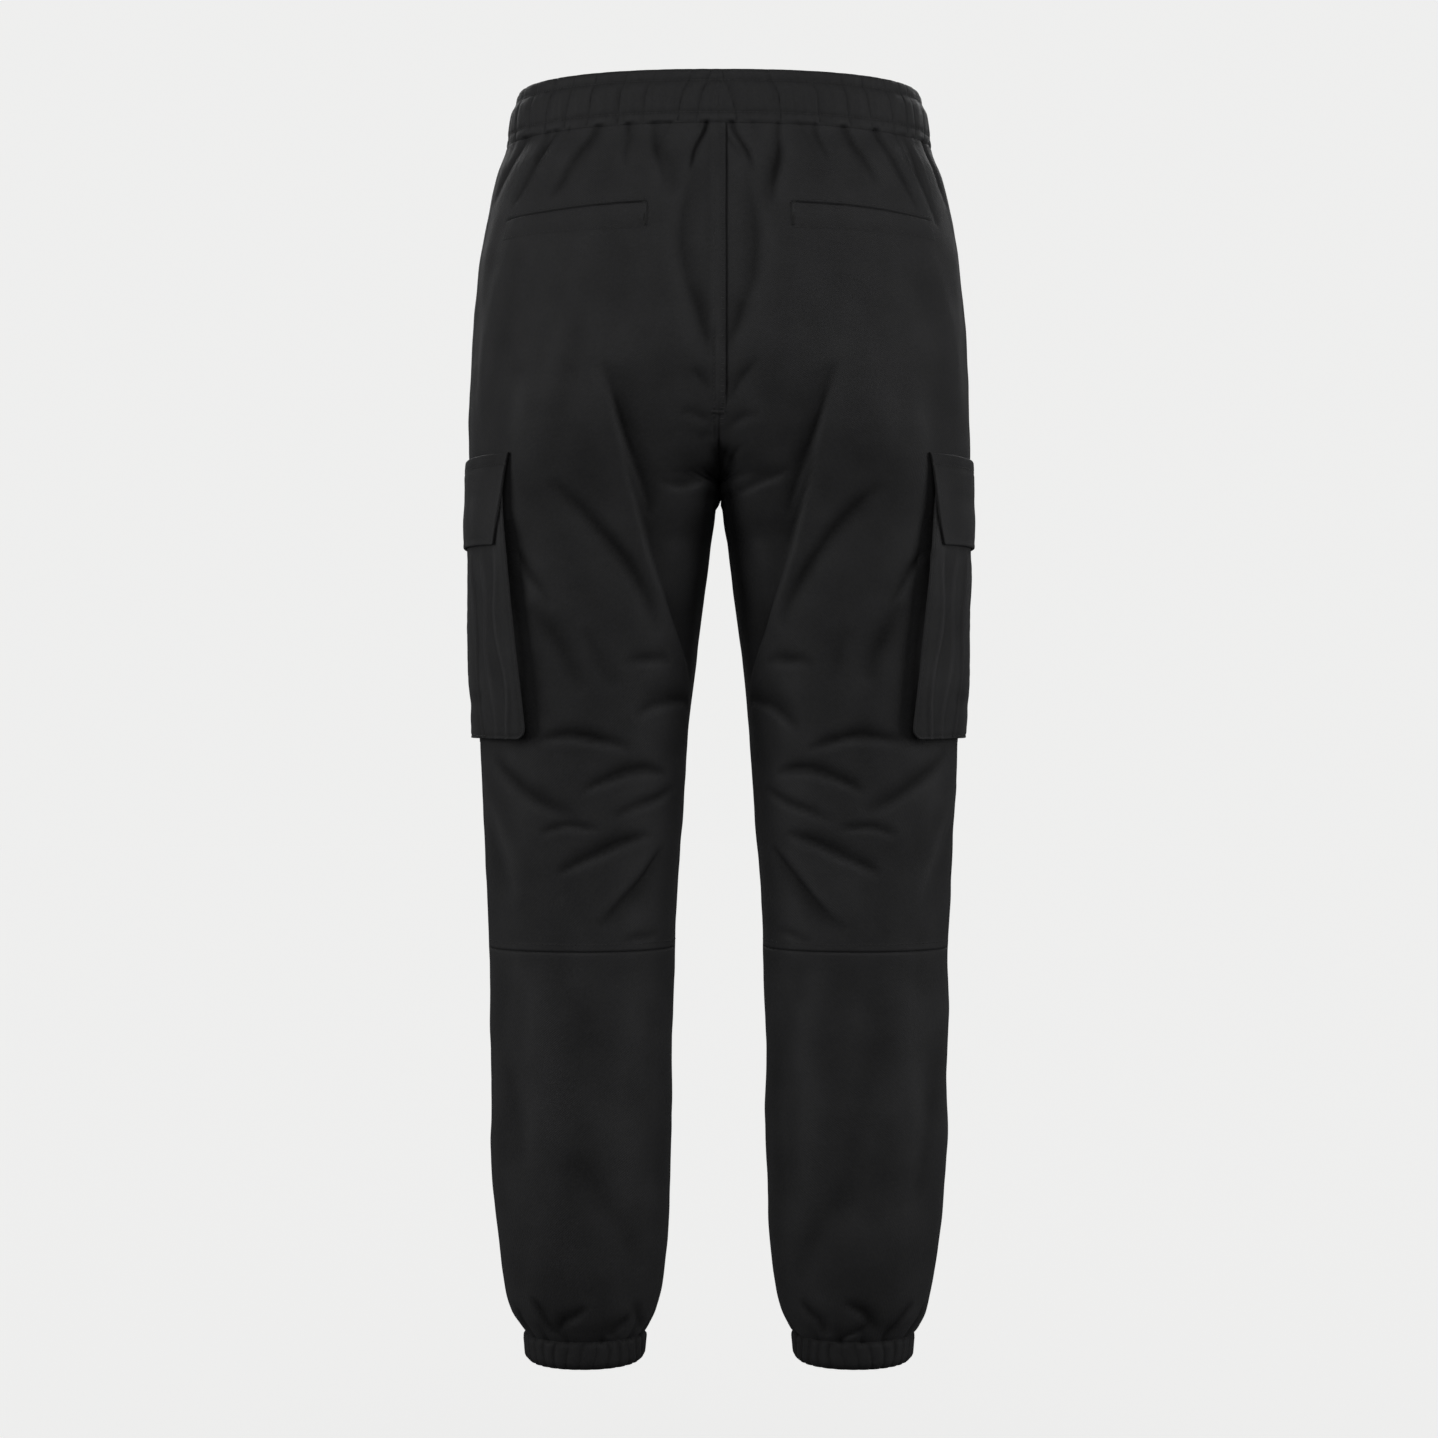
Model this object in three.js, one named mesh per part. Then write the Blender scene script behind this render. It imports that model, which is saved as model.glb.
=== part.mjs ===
// Cargo trousers with an elastic waistband and gathered ankle cuffs, filled out as when worn.
// Millimetres, +Z up. The origin is the middle of the waistband, -Y is the seat and +Y the front.
// Places on the cloth are given as girth g and height z. g is the way round from the side seam,
// above 0 on the back panels and below 0 on the front panels.
import * as THREE from 'three';

// Walls and seams
const CLOTH_WALL = 1.6;
const BAND_WALL = 2.6;
const CUFF_WALL = 2.4;
const POCKET_WALL = 1.5;
const FLAP_WALL = 1.6;
const WELT_WALL = 1.2;
const SEAM_GAP = 0.3;
const HALF_SEAM = SEAM_GAP / 2;
const LAY_GAP = 0.5;
const FLAP_GAP = 0.7;
const GUSSET_GAP = 0.8;

// Heights of the seams
const BAND_TOP = 21;
const BAND_BOTTOM = -21.5;
const KNEE_SEAM = -656;
const CUFF_TOP = -963;
const HEM = -985.5;

// How far the side seam lies behind the widest line of the leg, in radians
const SIDE_TURN = 0.16;

// Waist gathers
const BAND_WAVE = 0.8;
const WAIST_WAVE = 2.4;
const WAIST_FADE = 26;
const FRONT_GATHERS = 9;

// Ankle gathers
const CUFF_RIBS = 28;
const CUFF_WAVE = 0.7;
const ANKLE_GATHERS = 7;
const ANKLE_WAVE = 1.8;
const ANKLE_FADE = 16;

// Cargo pockets
const POCKET_TOP = -286;
const POCKET_MOUTH = -304;
const POCKET_BOTTOM = -490;
const POCKET_REAR = 80;
const POCKET_FRONT = -88;
const POCKET_CORNER = 9;
const GUSSET_TOP = -322;
const GUSSET_BULGE = 3;
const GUSSET_LAP = 0.4;
const RISE_START = 30;
const REAR_RISE = 4;
const FRONT_RISE = 2;
const FLAP_TOP = -272;
const FLAP_BOTTOM = -340;
const FLAP_REAR_TOP = 90;
const FLAP_REAR_BOTTOM = 71;
const FLAP_FRONT_TOP = -98;
const FLAP_FRONT_BOTTOM = -90;

// Back pocket welts
const WELT_TOP = -88;
const WELT_BOTTOM = -105;
const WELT_OUTER = 50;
const WELT_INNER = 176;

const BLACK_TWILL = { color: 0x242427, roughness: 0.88, metalness: 0 };
const BLACK_RIB = { color: 0x1f1f22, roughness: 0.9, metalness: 0 };

// Level sections of one half. outer and inner are distances from the middle plane. An inner below
// 0 means that the two halves run into each other there. back and front are half depths, and
// square is the exponent of the section's curve, 2 for an ellipse.
const SECTIONS = table('z outer inner back front square', [
  [21, 160.2, -160.2, 104, 100, 2.35],
  [13, 162.2, -162.2, 105, 101, 2.3],
  [4, 166, -166, 107, 102, 2.25],
  [-10, 168, -168, 108.5, 103, 2.2],
  [-21, 169.2, -169.2, 110, 104, 2.15],
  [-45, 177.6, -177.6, 118, 107, 2.2],
  [-80, 185, -185, 127, 110, 2.2],
  [-120, 192, -192, 136, 112, 2.25],
  [-160, 196, -188, 141, 113, 2.3],
  [-195, 197.6, -162, 142, 113, 2.35],
  [-225, 198.5, -112, 139, 112, 2.4],
  [-250, 198.8, -58, 134, 111, 2.4],
  [-266, 198.7, -22, 129, 110, 2.4],
  [-276, 198.2, 0.6, 126, 109, 2.4],
  [-300, 195.4, 2.6, 118, 108, 2.35],
  [-340, 192.6, 7.2, 109, 106, 2.3],
  [-400, 191.6, 14.6, 99, 101, 2.25],
  [-450, 190.6, 20.4, 91, 96, 2.2],
  [-500, 190.2, 24.8, 84, 91, 2.2],
  [-560, 187.4, 29, 76, 85, 2.2],
  [-620, 184.4, 33.4, 71, 79, 2.2],
  [-680, 182.6, 35.8, 70, 72, 2.2],
  [-740, 182.4, 37.2, 71, 65, 2.2],
  [-800, 182.2, 37, 73, 59, 2.2],
  [-850, 179.6, 38.4, 72, 55, 2.2],
  [-895, 175, 41.4, 69, 53, 2.2],
  [-925, 170.4, 44.6, 64, 51, 2.2],
  [-945, 165.4, 49.4, 58, 47, 2.2],
  [-957, 159.4, 55, 51.5, 41.5, 2.15],
  [-963, 156.2, 57.8, 48.5, 38.5, 2.1],
  [-970, 155.4, 58.8, 48, 38, 2.1],
  [-980, 154.6, 59.8, 47.4, 37.4, 2.1],
  [-985.5, 151.6, 62.6, 45, 35.4, 2.1],
]);

// The largest folds, from one end to the other. bow is how far the middle of the fold lies off
// the straight line, depth is below 0 for a trough, and width is half the width of the fold.
const FOLDS = table('half g z toG toZ bow depth width', [
  [-1, 188, -34, 236, -200, 8, -6, 14],
  [1, 190, -40, 232, -200, 8, -6, 14],
  [-1, 112, -30, 116, -92, 0, -3.5, 12],
  [1, 134, -28, 150, -84, 0, -3.5, 12],
  [-1, 160, -204, 222, -300, 8, -6.5, 18],
  [1, 158, -200, 216, -296, 8, -6.5, 18],
  [-1, 118, -286, 196, -412, 10, -7.5, 19],
  [1, 112, -290, 190, -404, 10, -7, 19],
  [-1, 98, -352, 140, -462, 0, -5, 15],
  [1, 100, -372, 134, -462, 0, -4.5, 15],
  [-1, 92, -499, 160, -504, 6, -4.5, 13],
  [1, 90, -500, 154, -508, -5, -4.5, 13],
  [-1, 120, -532, 196, -520, -5, -6, 14],
  [1, 60, -530, 140, -528, -6, -5.5, 14],
  [-1, 60, -558, 176, -578, 8, -5.5, 15],
  [1, 96, -568, 190, -562, 8, -6, 15],
  [-1, 92, -640, 150, -590, 0, -3, 14],
  [1, 50, -560, 100, -620, 0, -3, 14],
  [-1, -300, -262, -190, -222, -8, -4.5, 15],
  [1, -306, -264, -196, -214, -8, -4.5, 15],
  [-1, -290, -302, -180, -330, 10, -4, 16],
  [1, -292, -306, -186, -322, 10, -4, 16],
  [-1, -108, -430, -190, -486, 8, -3.5, 14],
  [1, -110, -438, -186, -498, 8, -3.5, 14],
  [-1, -60, -560, -200, -584, 10, -4, 15],
  [1, -56, -548, -190, -580, 10, -4, 15],
  [-1, -70, -720, -180, -700, 8, -3, 18],
  [1, -66, -700, -186, -716, 8, -3, 18],
  [-1, 60, -800, 150, -840, 6, -3, 20],
  [1, 66, -846, 160, -806, 6, -3, 20],
  [-1, 40, -900, 130, -926, 8, -3.5, 14],
  [1, 44, -926, 130, -900, 8, -3.5, 14],
]);

// Troughs of the waist gathers on the back, as girth from the side seam
const BACK_GATHERS = {
  [-1]: [0, 22, 44, 66, 86, 112, 136, 168, 190, 212],
  [1]: [0, 18, 36, 58, 80, 108, 142, 180, 196, 212],
};

// How far the face of a cargo pocket stands off the leg, by height
const POCKET_LIFT = table('z lift', [
  [-272, 0.1],
  [-286, 2.4],
  [-300, 4.2],
  [-320, 6.2],
  [-345, 7.9],
  [-400, 8.4],
  [-440, 8.4],
  [-465, 7.6],
  [-490, 6.4],
]);

// Rows of each panel from the top down, with the number of columns in each
const UPPER_ROWS = table('z back front', [
  [-36, 30, 28],
  [-58, 30, 28],
  [-88, 22, 18],
  [-124, 22, 18],
  [-162, 22, 18],
  [-200, 22, 18],
  [-228, 18, 16],
  [-248, 18, 16],
  [-261, 18, 16],
  [-269, 18, 16],
  [-274, 18, 16],
  [-276.5, 18, 16],
  [-286, 17, 13],
  [-304, 17, 13],
  [-340, 17, 13],
  [-374, 17, 13],
  [-408, 17, 13],
  [-440, 17, 13],
  [-468, 17, 13],
  [-490, 17, 13],
  [-510, 17, 13],
  [-530, 17, 13],
  [-552, 17, 13],
  [-578, 17, 13],
  [-616, 17, 13],
]);
const LOWER_ROWS = table('z back front', [
  [-700, 14, 12],
  [-744, 14, 12],
  [-788, 14, 12],
  [-830, 14, 12],
  [-868, 14, 12],
  [-900, 14, 12],
  [-926, 14, 12],
  [-944, 28, 28],
  [-955, 28, 28],
]);
const TOP_COLUMNS = 30;
const BAND_ROWS = table('z wave', [
  [BAND_BOTTOM, 1],
  [-7, 1],
  [12.5, 0.6],
  [BAND_TOP, 1],
]);
const CUFF_ROWS = [CUFF_TOP, -972, -981, HEM];
const KNEE_COLUMNS = { back: 17, front: 13 };
const ANKLE_COLUMNS = 28;

const BAND_COLUMNS = 128;
const BAND_INNER_COLUMNS = 64;
const RIB_COLUMNS = 3;
const POCKET_ROWS = 6;
const POCKET_COLUMNS = 12;
const CORNER_ROW = 0.7;
const CORNER_STEPS = 3;
const GUSSET_FOOT_ROWS = 8;
const FLAP_COLUMNS = 14;
const WELT_ROWS = 2;
const WELT_COLUMNS = 10;

// Numerical steps
const OUTLINE_STEPS = 160;
const SLOPE_U = 0.004;
const SLOPE_Z = 0.8;

function table(columns, rows) {
  const names = columns.split(' ');
  return rows.map((row) => Object.fromEntries(row.map((value, i) => [names[i], value])));
}

function clamp(value, low, high) {
  return Math.min(high, Math.max(low, value));
}

function smooth(value) {
  const t = clamp(value, 0, 1);
  return t * t * (3 - 2 * t);
}

function mix(from, to, share) {
  return from + (to - from) * share;
}

// Value of a named column at height z, on a smooth curve that never overshoots its rows
function column(rows, name, z) {
  const last = rows.length - 1;
  if (z >= rows[0].z) return rows[0][name];
  if (z <= rows[last].z) return rows[last][name];
  const i = rows.findIndex((row) => row.z < z) - 1;
  const rise = (k) => (rows[k + 1][name] - rows[k][name]) / (rows[k + 1].z - rows[k].z);
  const slope = (k) => {
    if (k === 0) return rise(0);
    if (k === last) return rise(last - 1);
    const before = rise(k - 1);
    const after = rise(k);
    return before * after > 0 ? (2 * before * after) / (before + after) : 0;
  };
  const step = rows[i + 1].z - rows[i].z;
  const t = (z - rows[i].z) / step;
  const bend = t * t * (3 - 2 * t);
  const lead = t * (1 - t) * (1 - t) * step * slope(i);
  const tail = t * t * (t - 1) * step * slope(i + 1);
  return mix(rows[i][name], rows[i + 1][name], bend) + lead + tail;
}

// The section of the right half at height z: points from the side seam to the middle plane or to
// the inseam, with the way along them
const outlines = new Map();
function outline(z) {
  if (outlines.has(z)) return outlines.get(z);
  const [outer, inner, back, front, square] = ['outer', 'inner', 'back', 'front', 'square'].map(
    (name) => column(SECTIONS, name, z),
  );
  const middle = (outer + inner) / 2;
  const reach = (outer - inner) / 2;
  const start = Math.acos(clamp(middle / reach, 0, 1) ** (square / 2));
  const side = Math.PI - SIDE_TURN;
  const trace = (end, depth) => {
    const points = [];
    let g = 0;
    for (let i = 0; i <= OUTLINE_STEPS; i += 1) {
      const turn = mix(side, end, i / OUTLINE_STEPS);
      const across = Math.cos(turn);
      const along = Math.sin(turn);
      const deep = along > 0 ? back : front;
      const x = middle - reach * Math.sign(across) * Math.abs(across) ** (2 / square);
      const y = -deep * Math.sign(along) * Math.abs(along) ** (2 / square);
      const before = points[i - 1];
      if (before) g += Math.hypot(x - before.x, y - before.y);
      points.push({ x, y, g });
    }
    return points;
  };
  const section = { back: trace(start), front: trace(2 * Math.PI - start) };
  outlines.set(z, section);
  return section;
}

function girth(side, z) {
  return outline(z)[side][OUTLINE_STEPS].g;
}

// Point of the bare form, without folds. u runs from 0 at the side seam to 1.
function bare(half, side, u, z) {
  const points = outline(z)[side];
  const g = clamp(u, 0, 1) * points[OUTLINE_STEPS].g;
  let low = 0;
  let high = OUTLINE_STEPS;
  while (high - low > 1) {
    const middle = (low + high) >> 1;
    if (points[middle].g <= g) low = middle;
    else high = middle;
  }
  const share = (g - points[low].g) / (points[high].g - points[low].g);
  const x = mix(points[low].x, points[high].x, share);
  const y = mix(points[low].y, points[high].y, share);
  return new THREE.Vector3(half * x, y, z);
}

// Direction out of the bare form. A level one keeps the height of a seam that runs round.
function outward(half, side, u, z, level) {
  const back = bare(half, side, Math.max(0, u - SLOPE_U), z);
  const round = bare(half, side, Math.min(1, u + SLOPE_U), z).sub(back);
  const up = bare(half, side, u, z + SLOPE_Z).sub(bare(half, side, u, z - SLOPE_Z));
  const out = round.cross(up);
  if (level) out.z = 0;
  out.normalize();
  const middle = (half * (column(SECTIONS, 'outer', z) + column(SECTIONS, 'inner', z))) / 2;
  const from = bare(half, side, u, z).sub(new THREE.Vector3(middle, 0, z));
  return out.dot(from) < 0 ? out.negate() : out;
}

function foldAt(fold, g, z) {
  const long = Math.hypot(fold.toG - fold.g, fold.toZ - fold.z);
  const dirG = (fold.toG - fold.g) / long;
  const dirZ = (fold.toZ - fold.z) / long;
  const t = ((g - fold.g) * dirG + (z - fold.z) * dirZ) / long;
  if (t <= 0 || t >= 1) return 0;
  const off = (z - fold.z) * dirG - (g - fold.g) * dirZ - fold.bow * 4 * t * (1 - t);
  return fold.depth * Math.exp(-((off / fold.width) ** 2)) * Math.sin(Math.PI * t) ** 0.7;
}

// Height of the waves of a gathered seam, 1 on a crest and -1 in a trough
function wave(troughs, g) {
  const i = troughs.findIndex((trough) => trough > g);
  if (i <= 0) return -1;
  return -Math.cos((2 * Math.PI * (g - troughs[i - 1])) / (troughs[i] - troughs[i - 1]));
}

function waistWave(half, g, z) {
  if (g >= 0) return wave(BACK_GATHERS[half], g);
  const across = girth('front', Math.min(z, BAND_BOTTOM));
  return -Math.cos((2 * Math.PI * FRONT_GATHERS * -g) / across);
}

function relief(half, g, z) {
  const folds = FOLDS.filter((fold) => fold.half === half && fold.g * g > 0);
  const folded = folds.reduce((sum, fold) => sum + foldAt(fold, g, z), 0);
  const side = g >= 0 ? 'back' : 'front';
  const waist = WAIST_WAVE * Math.exp((z - BAND_BOTTOM) / WAIST_FADE);
  const ankle = ANKLE_WAVE * Math.exp((CUFF_TOP - z) / ANKLE_FADE);
  const turns = (2 * Math.PI * ANKLE_GATHERS * Math.abs(g)) / girth(side, z);
  return folded + waist * (waistWave(half, g, z) - 1) / 2 + (ankle * (Math.cos(turns) - 1)) / 2;
}

// Point of the cloth's outer face, moved out by lift
function cloth(half, g, z, lift = 0, level = false) {
  const side = g >= 0 ? 'back' : 'front';
  const u = Math.abs(g) / girth(side, z);
  const point = bare(half, side, u, z);
  point.addScaledVector(outward(half, side, u, z, level), relief(half, g, z) + lift);
  point.x = half * Math.max(half * point.x, HALF_SEAM);
  return point;
}

// A piece of cloth has an outer and an inner point at each of its places
function layer(half, g, z, lift, thick, level) {
  return {
    outer: cloth(half, g, z, lift, level),
    inner: cloth(half, g, z, lift - thick, level),
  };
}

class Solid {
  constructor() {
    this.points = [];
    this.faces = [];
  }

  add(points) {
    const first = this.points.length;
    this.points.push(...points);
    return points.map((point, i) => first + i);
  }

  // Faces between two rows of points, which may differ in number
  strip(a, b) {
    let i = 0;
    let k = 0;
    while (i < a.length - 1 || k < b.length - 1) {
      const nextA = (i + 1) / (a.length - 1);
      const nextB = (k + 1) / (b.length - 1);
      if (k === b.length - 1 || (i < a.length - 1 && nextA <= nextB)) {
        this.faces.push([a[i], a[i + 1], b[k]]);
        i += 1;
      } else {
        this.faces.push([a[i], b[k + 1], b[k]]);
        k += 1;
      }
    }
  }

  mesh(name, finish) {
    const corner = ([a, b, c]) => {
      const [p, q, r] = [a, b, c].map((i) => this.points[i]);
      return p.dot(new THREE.Vector3().crossVectors(q, r));
    };
    const volume = this.faces.reduce((sum, face) => sum + corner(face), 0);
    const faces = volume < 0 ? this.faces.map(([a, b, c]) => [a, c, b]) : this.faces;
    const geometry = new THREE.BufferGeometry();
    const numbers = this.points.flatMap((point) => point.toArray());
    geometry.setAttribute('position', new THREE.Float32BufferAttribute(numbers, 3));
    geometry.setIndex(faces.flat());
    geometry.computeVertexNormals();
    const mesh = new THREE.Mesh(geometry, new THREE.MeshStandardMaterial(finish));
    mesh.name = name;
    return mesh;
  }
}

// A closed wall from rows of layers
function sheet(rows) {
  const solid = new Solid();
  const outer = rows.map((row) => solid.add(row.map((place) => place.outer)));
  const inner = rows.map((row) => solid.add(row.map((place) => place.inner)));
  for (let i = 0; i < rows.length - 1; i += 1) {
    solid.strip(outer[i], outer[i + 1]);
    solid.strip(inner[i + 1], inner[i]);
  }
  const last = rows.length - 1;
  solid.strip(inner[0], outer[0]);
  solid.strip(outer[last], inner[last]);
  const first = (row) => row[0];
  const end = (row) => row[row.length - 1];
  solid.strip(outer.map(first), inner.map(first));
  solid.strip(inner.map(end), outer.map(end));
  return solid;
}

// A closed ring from loops of points that follow each other round its wall
function ring(loops) {
  const solid = new Solid();
  const rows = loops.map((loop) => {
    const row = solid.add(loop);
    return [...row, row[0]];
  });
  rows.forEach((row, i) => solid.strip(row, rows[(i + 1) % rows.length]));
  return solid;
}

function panelRow(half, side, z, count, level) {
  const long = girth(side, z);
  const sign = side === 'back' ? 1 : -1;
  return Array.from({ length: count + 1 }, (_, i) => {
    const g = sign * mix(HALF_SEAM, long - HALF_SEAM, i / count);
    return layer(half, g, z, 0, CLOTH_WALL, level);
  });
}

function panel(half, side, rows, top, bottom) {
  return sheet([
    panelRow(half, side, top.z, top.count, true),
    ...rows.map((row) => panelRow(half, side, row.z, row[side], false)),
    panelRow(half, side, bottom.z, bottom.count, true),
  ]);
}

// Ends of the panels at the seams that run round
const waistEnd = { z: BAND_BOTTOM - SEAM_GAP, count: TOP_COLUMNS };
const ankleEnd = { z: CUFF_TOP + SEAM_GAP, count: ANKLE_COLUMNS };
const aboveKnee = (side) => ({ z: KNEE_SEAM + HALF_SEAM, count: KNEE_COLUMNS[side] });
const belowKnee = (side) => ({ z: KNEE_SEAM - HALF_SEAM, count: KNEE_COLUMNS[side] });

function backPanel(half) {
  return panel(half, 'back', UPPER_ROWS, waistEnd, aboveKnee('back'));
}

function calfPanel(half) {
  return panel(half, 'back', LOWER_ROWS, belowKnee('back'), ankleEnd);
}

function frontPanel(half) {
  const knee = { z: KNEE_SEAM, back: KNEE_COLUMNS.back, front: KNEE_COLUMNS.front };
  return panel(half, 'front', [...UPPER_ROWS, knee, ...LOWER_ROWS], waistEnd, ankleEnd);
}

// A level loop round the waist through both halves, with a lift at each place
function waistLoop(z, count, lift) {
  const halves = [
    [1, 'back'],
    [1, 'front'],
    [-1, 'front'],
    [-1, 'back'],
  ];
  return halves.flatMap(([half, side]) => {
    const fromMiddle = (half > 0) === (side === 'back');
    return Array.from({ length: count / 4 }, (_, i) => {
      const share = i / (count / 4);
      const u = fromMiddle ? 1 - share : share;
      const g = (side === 'back' ? 1 : -1) * u * girth(side, z);
      const out = outward(half, side, u, z, true);
      return bare(half, side, u, z).addScaledVector(out, lift(half, g));
    });
  });
}

function waistband() {
  const outer = BAND_ROWS.map(({ z, wave: share }) => {
    const waistG = (half, g) => BAND_WAVE * share * waistWave(half, g, BAND_BOTTOM);
    return waistLoop(z, BAND_COLUMNS, waistG);
  });
  const inner = [BAND_TOP, BAND_BOTTOM].map((z) => waistLoop(z, BAND_INNER_COLUMNS, () => -BAND_WALL));
  return ring([...outer, ...inner]);
}

function ankleLoop(half, z, count, lift) {
  return ['back', 'front'].flatMap((side) =>
    Array.from({ length: count / 2 }, (_, i) => {
      const share = i / (count / 2);
      const u = side === 'back' ? share : 1 - share;
      const out = outward(half, side, u, z, true);
      return bare(half, side, u, z).addScaledVector(out, lift(share));
    }),
  );
}

function cuff(half) {
  const columns = CUFF_RIBS * RIB_COLUMNS;
  const ribs = CUFF_RIBS / 2;
  const outer = CUFF_ROWS.map((z) => {
    const rib = (share) => CUFF_WAVE * Math.cos(2 * Math.PI * ribs * share);
    return ankleLoop(half, z, columns, rib);
  });
  const inner = [HEM, CUFF_TOP].map((z) => ankleLoop(half, z, CUFF_RIBS, () => -CUFF_WALL));
  return ring([...outer, ...inner]);
}

// Lift of a cargo pocket's outer face off the leg
function pocketLift(g, z) {
  const rear = REAR_RISE * smooth((g - RISE_START) / (POCKET_REAR - RISE_START));
  const front = FRONT_RISE * smooth((-g - RISE_START) / (-POCKET_FRONT - RISE_START));
  const open = smooth((FLAP_TOP - z) / (FLAP_TOP - FLAP_BOTTOM));
  return column(POCKET_LIFT, 'lift', z) + (rear + front) * open;
}

function levels(top, bottom, count) {
  return Array.from({ length: count + 1 }, (_, i) => mix(top, bottom, i / count));
}

function pocketFace(half) {
  const low = POCKET_BOTTOM + POCKET_CORNER;
  const upper = [POCKET_TOP, POCKET_MOUTH, ...levels(GUSSET_TOP, low, POCKET_ROWS)];
  return sheet(
    [...upper, low - POCKET_CORNER * CORNER_ROW, POCKET_BOTTOM].map((z) => {
      const drop = Math.max(0, low - z) / POCKET_CORNER;
      const inset = POCKET_CORNER * (1 - Math.sqrt(1 - drop * drop));
      return levels(POCKET_REAR - inset, POCKET_FRONT + inset, POCKET_COLUMNS).map((g) =>
        layer(half, g, z, pocketLift(g, z), POCKET_WALL),
      );
    }),
  );
}

// Way round the rear, bottom and front edges of a pocket, with the direction out of the pocket
function pocketEdge() {
  const way = levels(GUSSET_TOP, POCKET_BOTTOM + POCKET_CORNER, POCKET_ROWS);
  const corner = levels(0, Math.PI / 2, CORNER_STEPS).slice(1, -1);
  const foot = [POCKET_REAR - POCKET_CORNER, POCKET_FRONT + POCKET_CORNER];
  const bottom = levels(...foot, GUSSET_FOOT_ROWS);
  const low = POCKET_BOTTOM + POCKET_CORNER;
  const round = (side, centre, turn) => ({
    g: centre + side * POCKET_CORNER * Math.cos(turn),
    z: low - POCKET_CORNER * Math.sin(turn),
    outG: side * Math.cos(turn),
    outZ: -Math.sin(turn),
  });
  return [
    ...way.map((z) => ({ g: POCKET_REAR, z, outG: 1, outZ: 0 })),
    ...corner.map((turn) => round(1, POCKET_REAR - POCKET_CORNER, turn)),
    ...bottom.map((g) => ({ g, z: POCKET_BOTTOM, outG: 0, outZ: -1 })),
    ...corner.map((turn) => round(-1, POCKET_FRONT + POCKET_CORNER, turn)).reverse(),
    ...way.map((z) => ({ g: POCKET_FRONT, z, outG: -1, outZ: 0 })).reverse(),
  ];
}

// The gusset is a folded strip between the leg and the edge of the pocket's face
function pocketGusset(half) {
  const rows = pocketEdge().map(({ g, z, outG, outZ }) => {
    const high = pocketLift(g, z) - POCKET_WALL - GUSSET_GAP;
    const stations = [
      { lift: GUSSET_GAP, out: -GUSSET_LAP },
      { lift: high / 2, out: GUSSET_BULGE },
      { lift: high, out: -GUSSET_LAP },
    ];
    return stations.map(({ lift, out }) => {
      const inside = out - POCKET_WALL;
      return {
        outer: cloth(half, g + outG * out, z + outZ * out, lift),
        inner: cloth(half, g + outG * inside, z + outZ * inside, lift),
      };
    });
  });
  return sheet(rows);
}

function pocketFlap(half) {
  return sheet(
    [FLAP_TOP, POCKET_TOP, POCKET_MOUTH, GUSSET_TOP, FLAP_BOTTOM].map((z) => {
      const share = (FLAP_TOP - z) / (FLAP_TOP - FLAP_BOTTOM);
      const rear = mix(FLAP_REAR_TOP, FLAP_REAR_BOTTOM, share);
      const front = mix(FLAP_FRONT_TOP, FLAP_FRONT_BOTTOM, share);
      return levels(rear, front, FLAP_COLUMNS).map((g) => {
        const lift = pocketLift(g, z) + FLAP_GAP + FLAP_WALL;
        return layer(half, g, z, lift, FLAP_WALL);
      });
    }),
  );
}

function welt(half) {
  return sheet(
    levels(WELT_TOP, WELT_BOTTOM, WELT_ROWS).map((z) =>
      levels(WELT_OUTER, WELT_INNER, WELT_COLUMNS).map((g) =>
        layer(half, g, z, LAY_GAP + WELT_WALL, WELT_WALL),
      ),
    ),
  );
}

const group = new THREE.Group();
group.add(waistband().mesh('waistband', BLACK_TWILL));
for (const [half, name] of [
  [-1, 'left'],
  [1, 'right'],
]) {
  group.add(backPanel(half).mesh(`back_${name}`, BLACK_TWILL));
  group.add(calfPanel(half).mesh(`back_calf_${name}`, BLACK_TWILL));
  group.add(frontPanel(half).mesh(`front_${name}`, BLACK_TWILL));
  group.add(cuff(half).mesh(`cuff_${name}`, BLACK_RIB));
  group.add(pocketFace(half).mesh(`cargo_face_${name}`, BLACK_TWILL));
  group.add(pocketGusset(half).mesh(`cargo_gusset_${name}`, BLACK_TWILL));
  group.add(pocketFlap(half).mesh(`cargo_flap_${name}`, BLACK_TWILL));
  group.add(welt(half).mesh(`welt_${name}`, BLACK_TWILL));
}

export default group;
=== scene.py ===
"""Black cargo trousers with an elastic waistband and gathered ankle cuffs, seen from behind.

Cloth is laid out in millimetres: g is the way round from the side seam, above 0 on the back and
below 0 on the front, and z is the height. half is -1 for the wearer's left and 1 for the right.
"""
import functools
import math

import bpy
import numpy as np
from bpy.props import FloatProperty, FloatVectorProperty, IntProperty, PointerProperty
from bpy.types import Operator, Panel, PropertyGroup
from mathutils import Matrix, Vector


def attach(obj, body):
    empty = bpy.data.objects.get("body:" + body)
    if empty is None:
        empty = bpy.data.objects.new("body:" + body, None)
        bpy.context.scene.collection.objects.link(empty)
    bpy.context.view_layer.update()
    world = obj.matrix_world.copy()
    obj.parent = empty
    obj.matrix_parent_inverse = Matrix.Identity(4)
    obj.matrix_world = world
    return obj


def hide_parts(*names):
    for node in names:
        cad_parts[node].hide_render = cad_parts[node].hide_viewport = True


bl_info = {
    "name": "Cargo trousers",
    "version": (1, 0, 0),
    "blender": (4, 5, 0),
    "location": "3D View > Sidebar > Trousers",
    "description": "Builds black cargo trousers, their sewing and a plain studio",
    "category": "Object",
}

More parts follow.
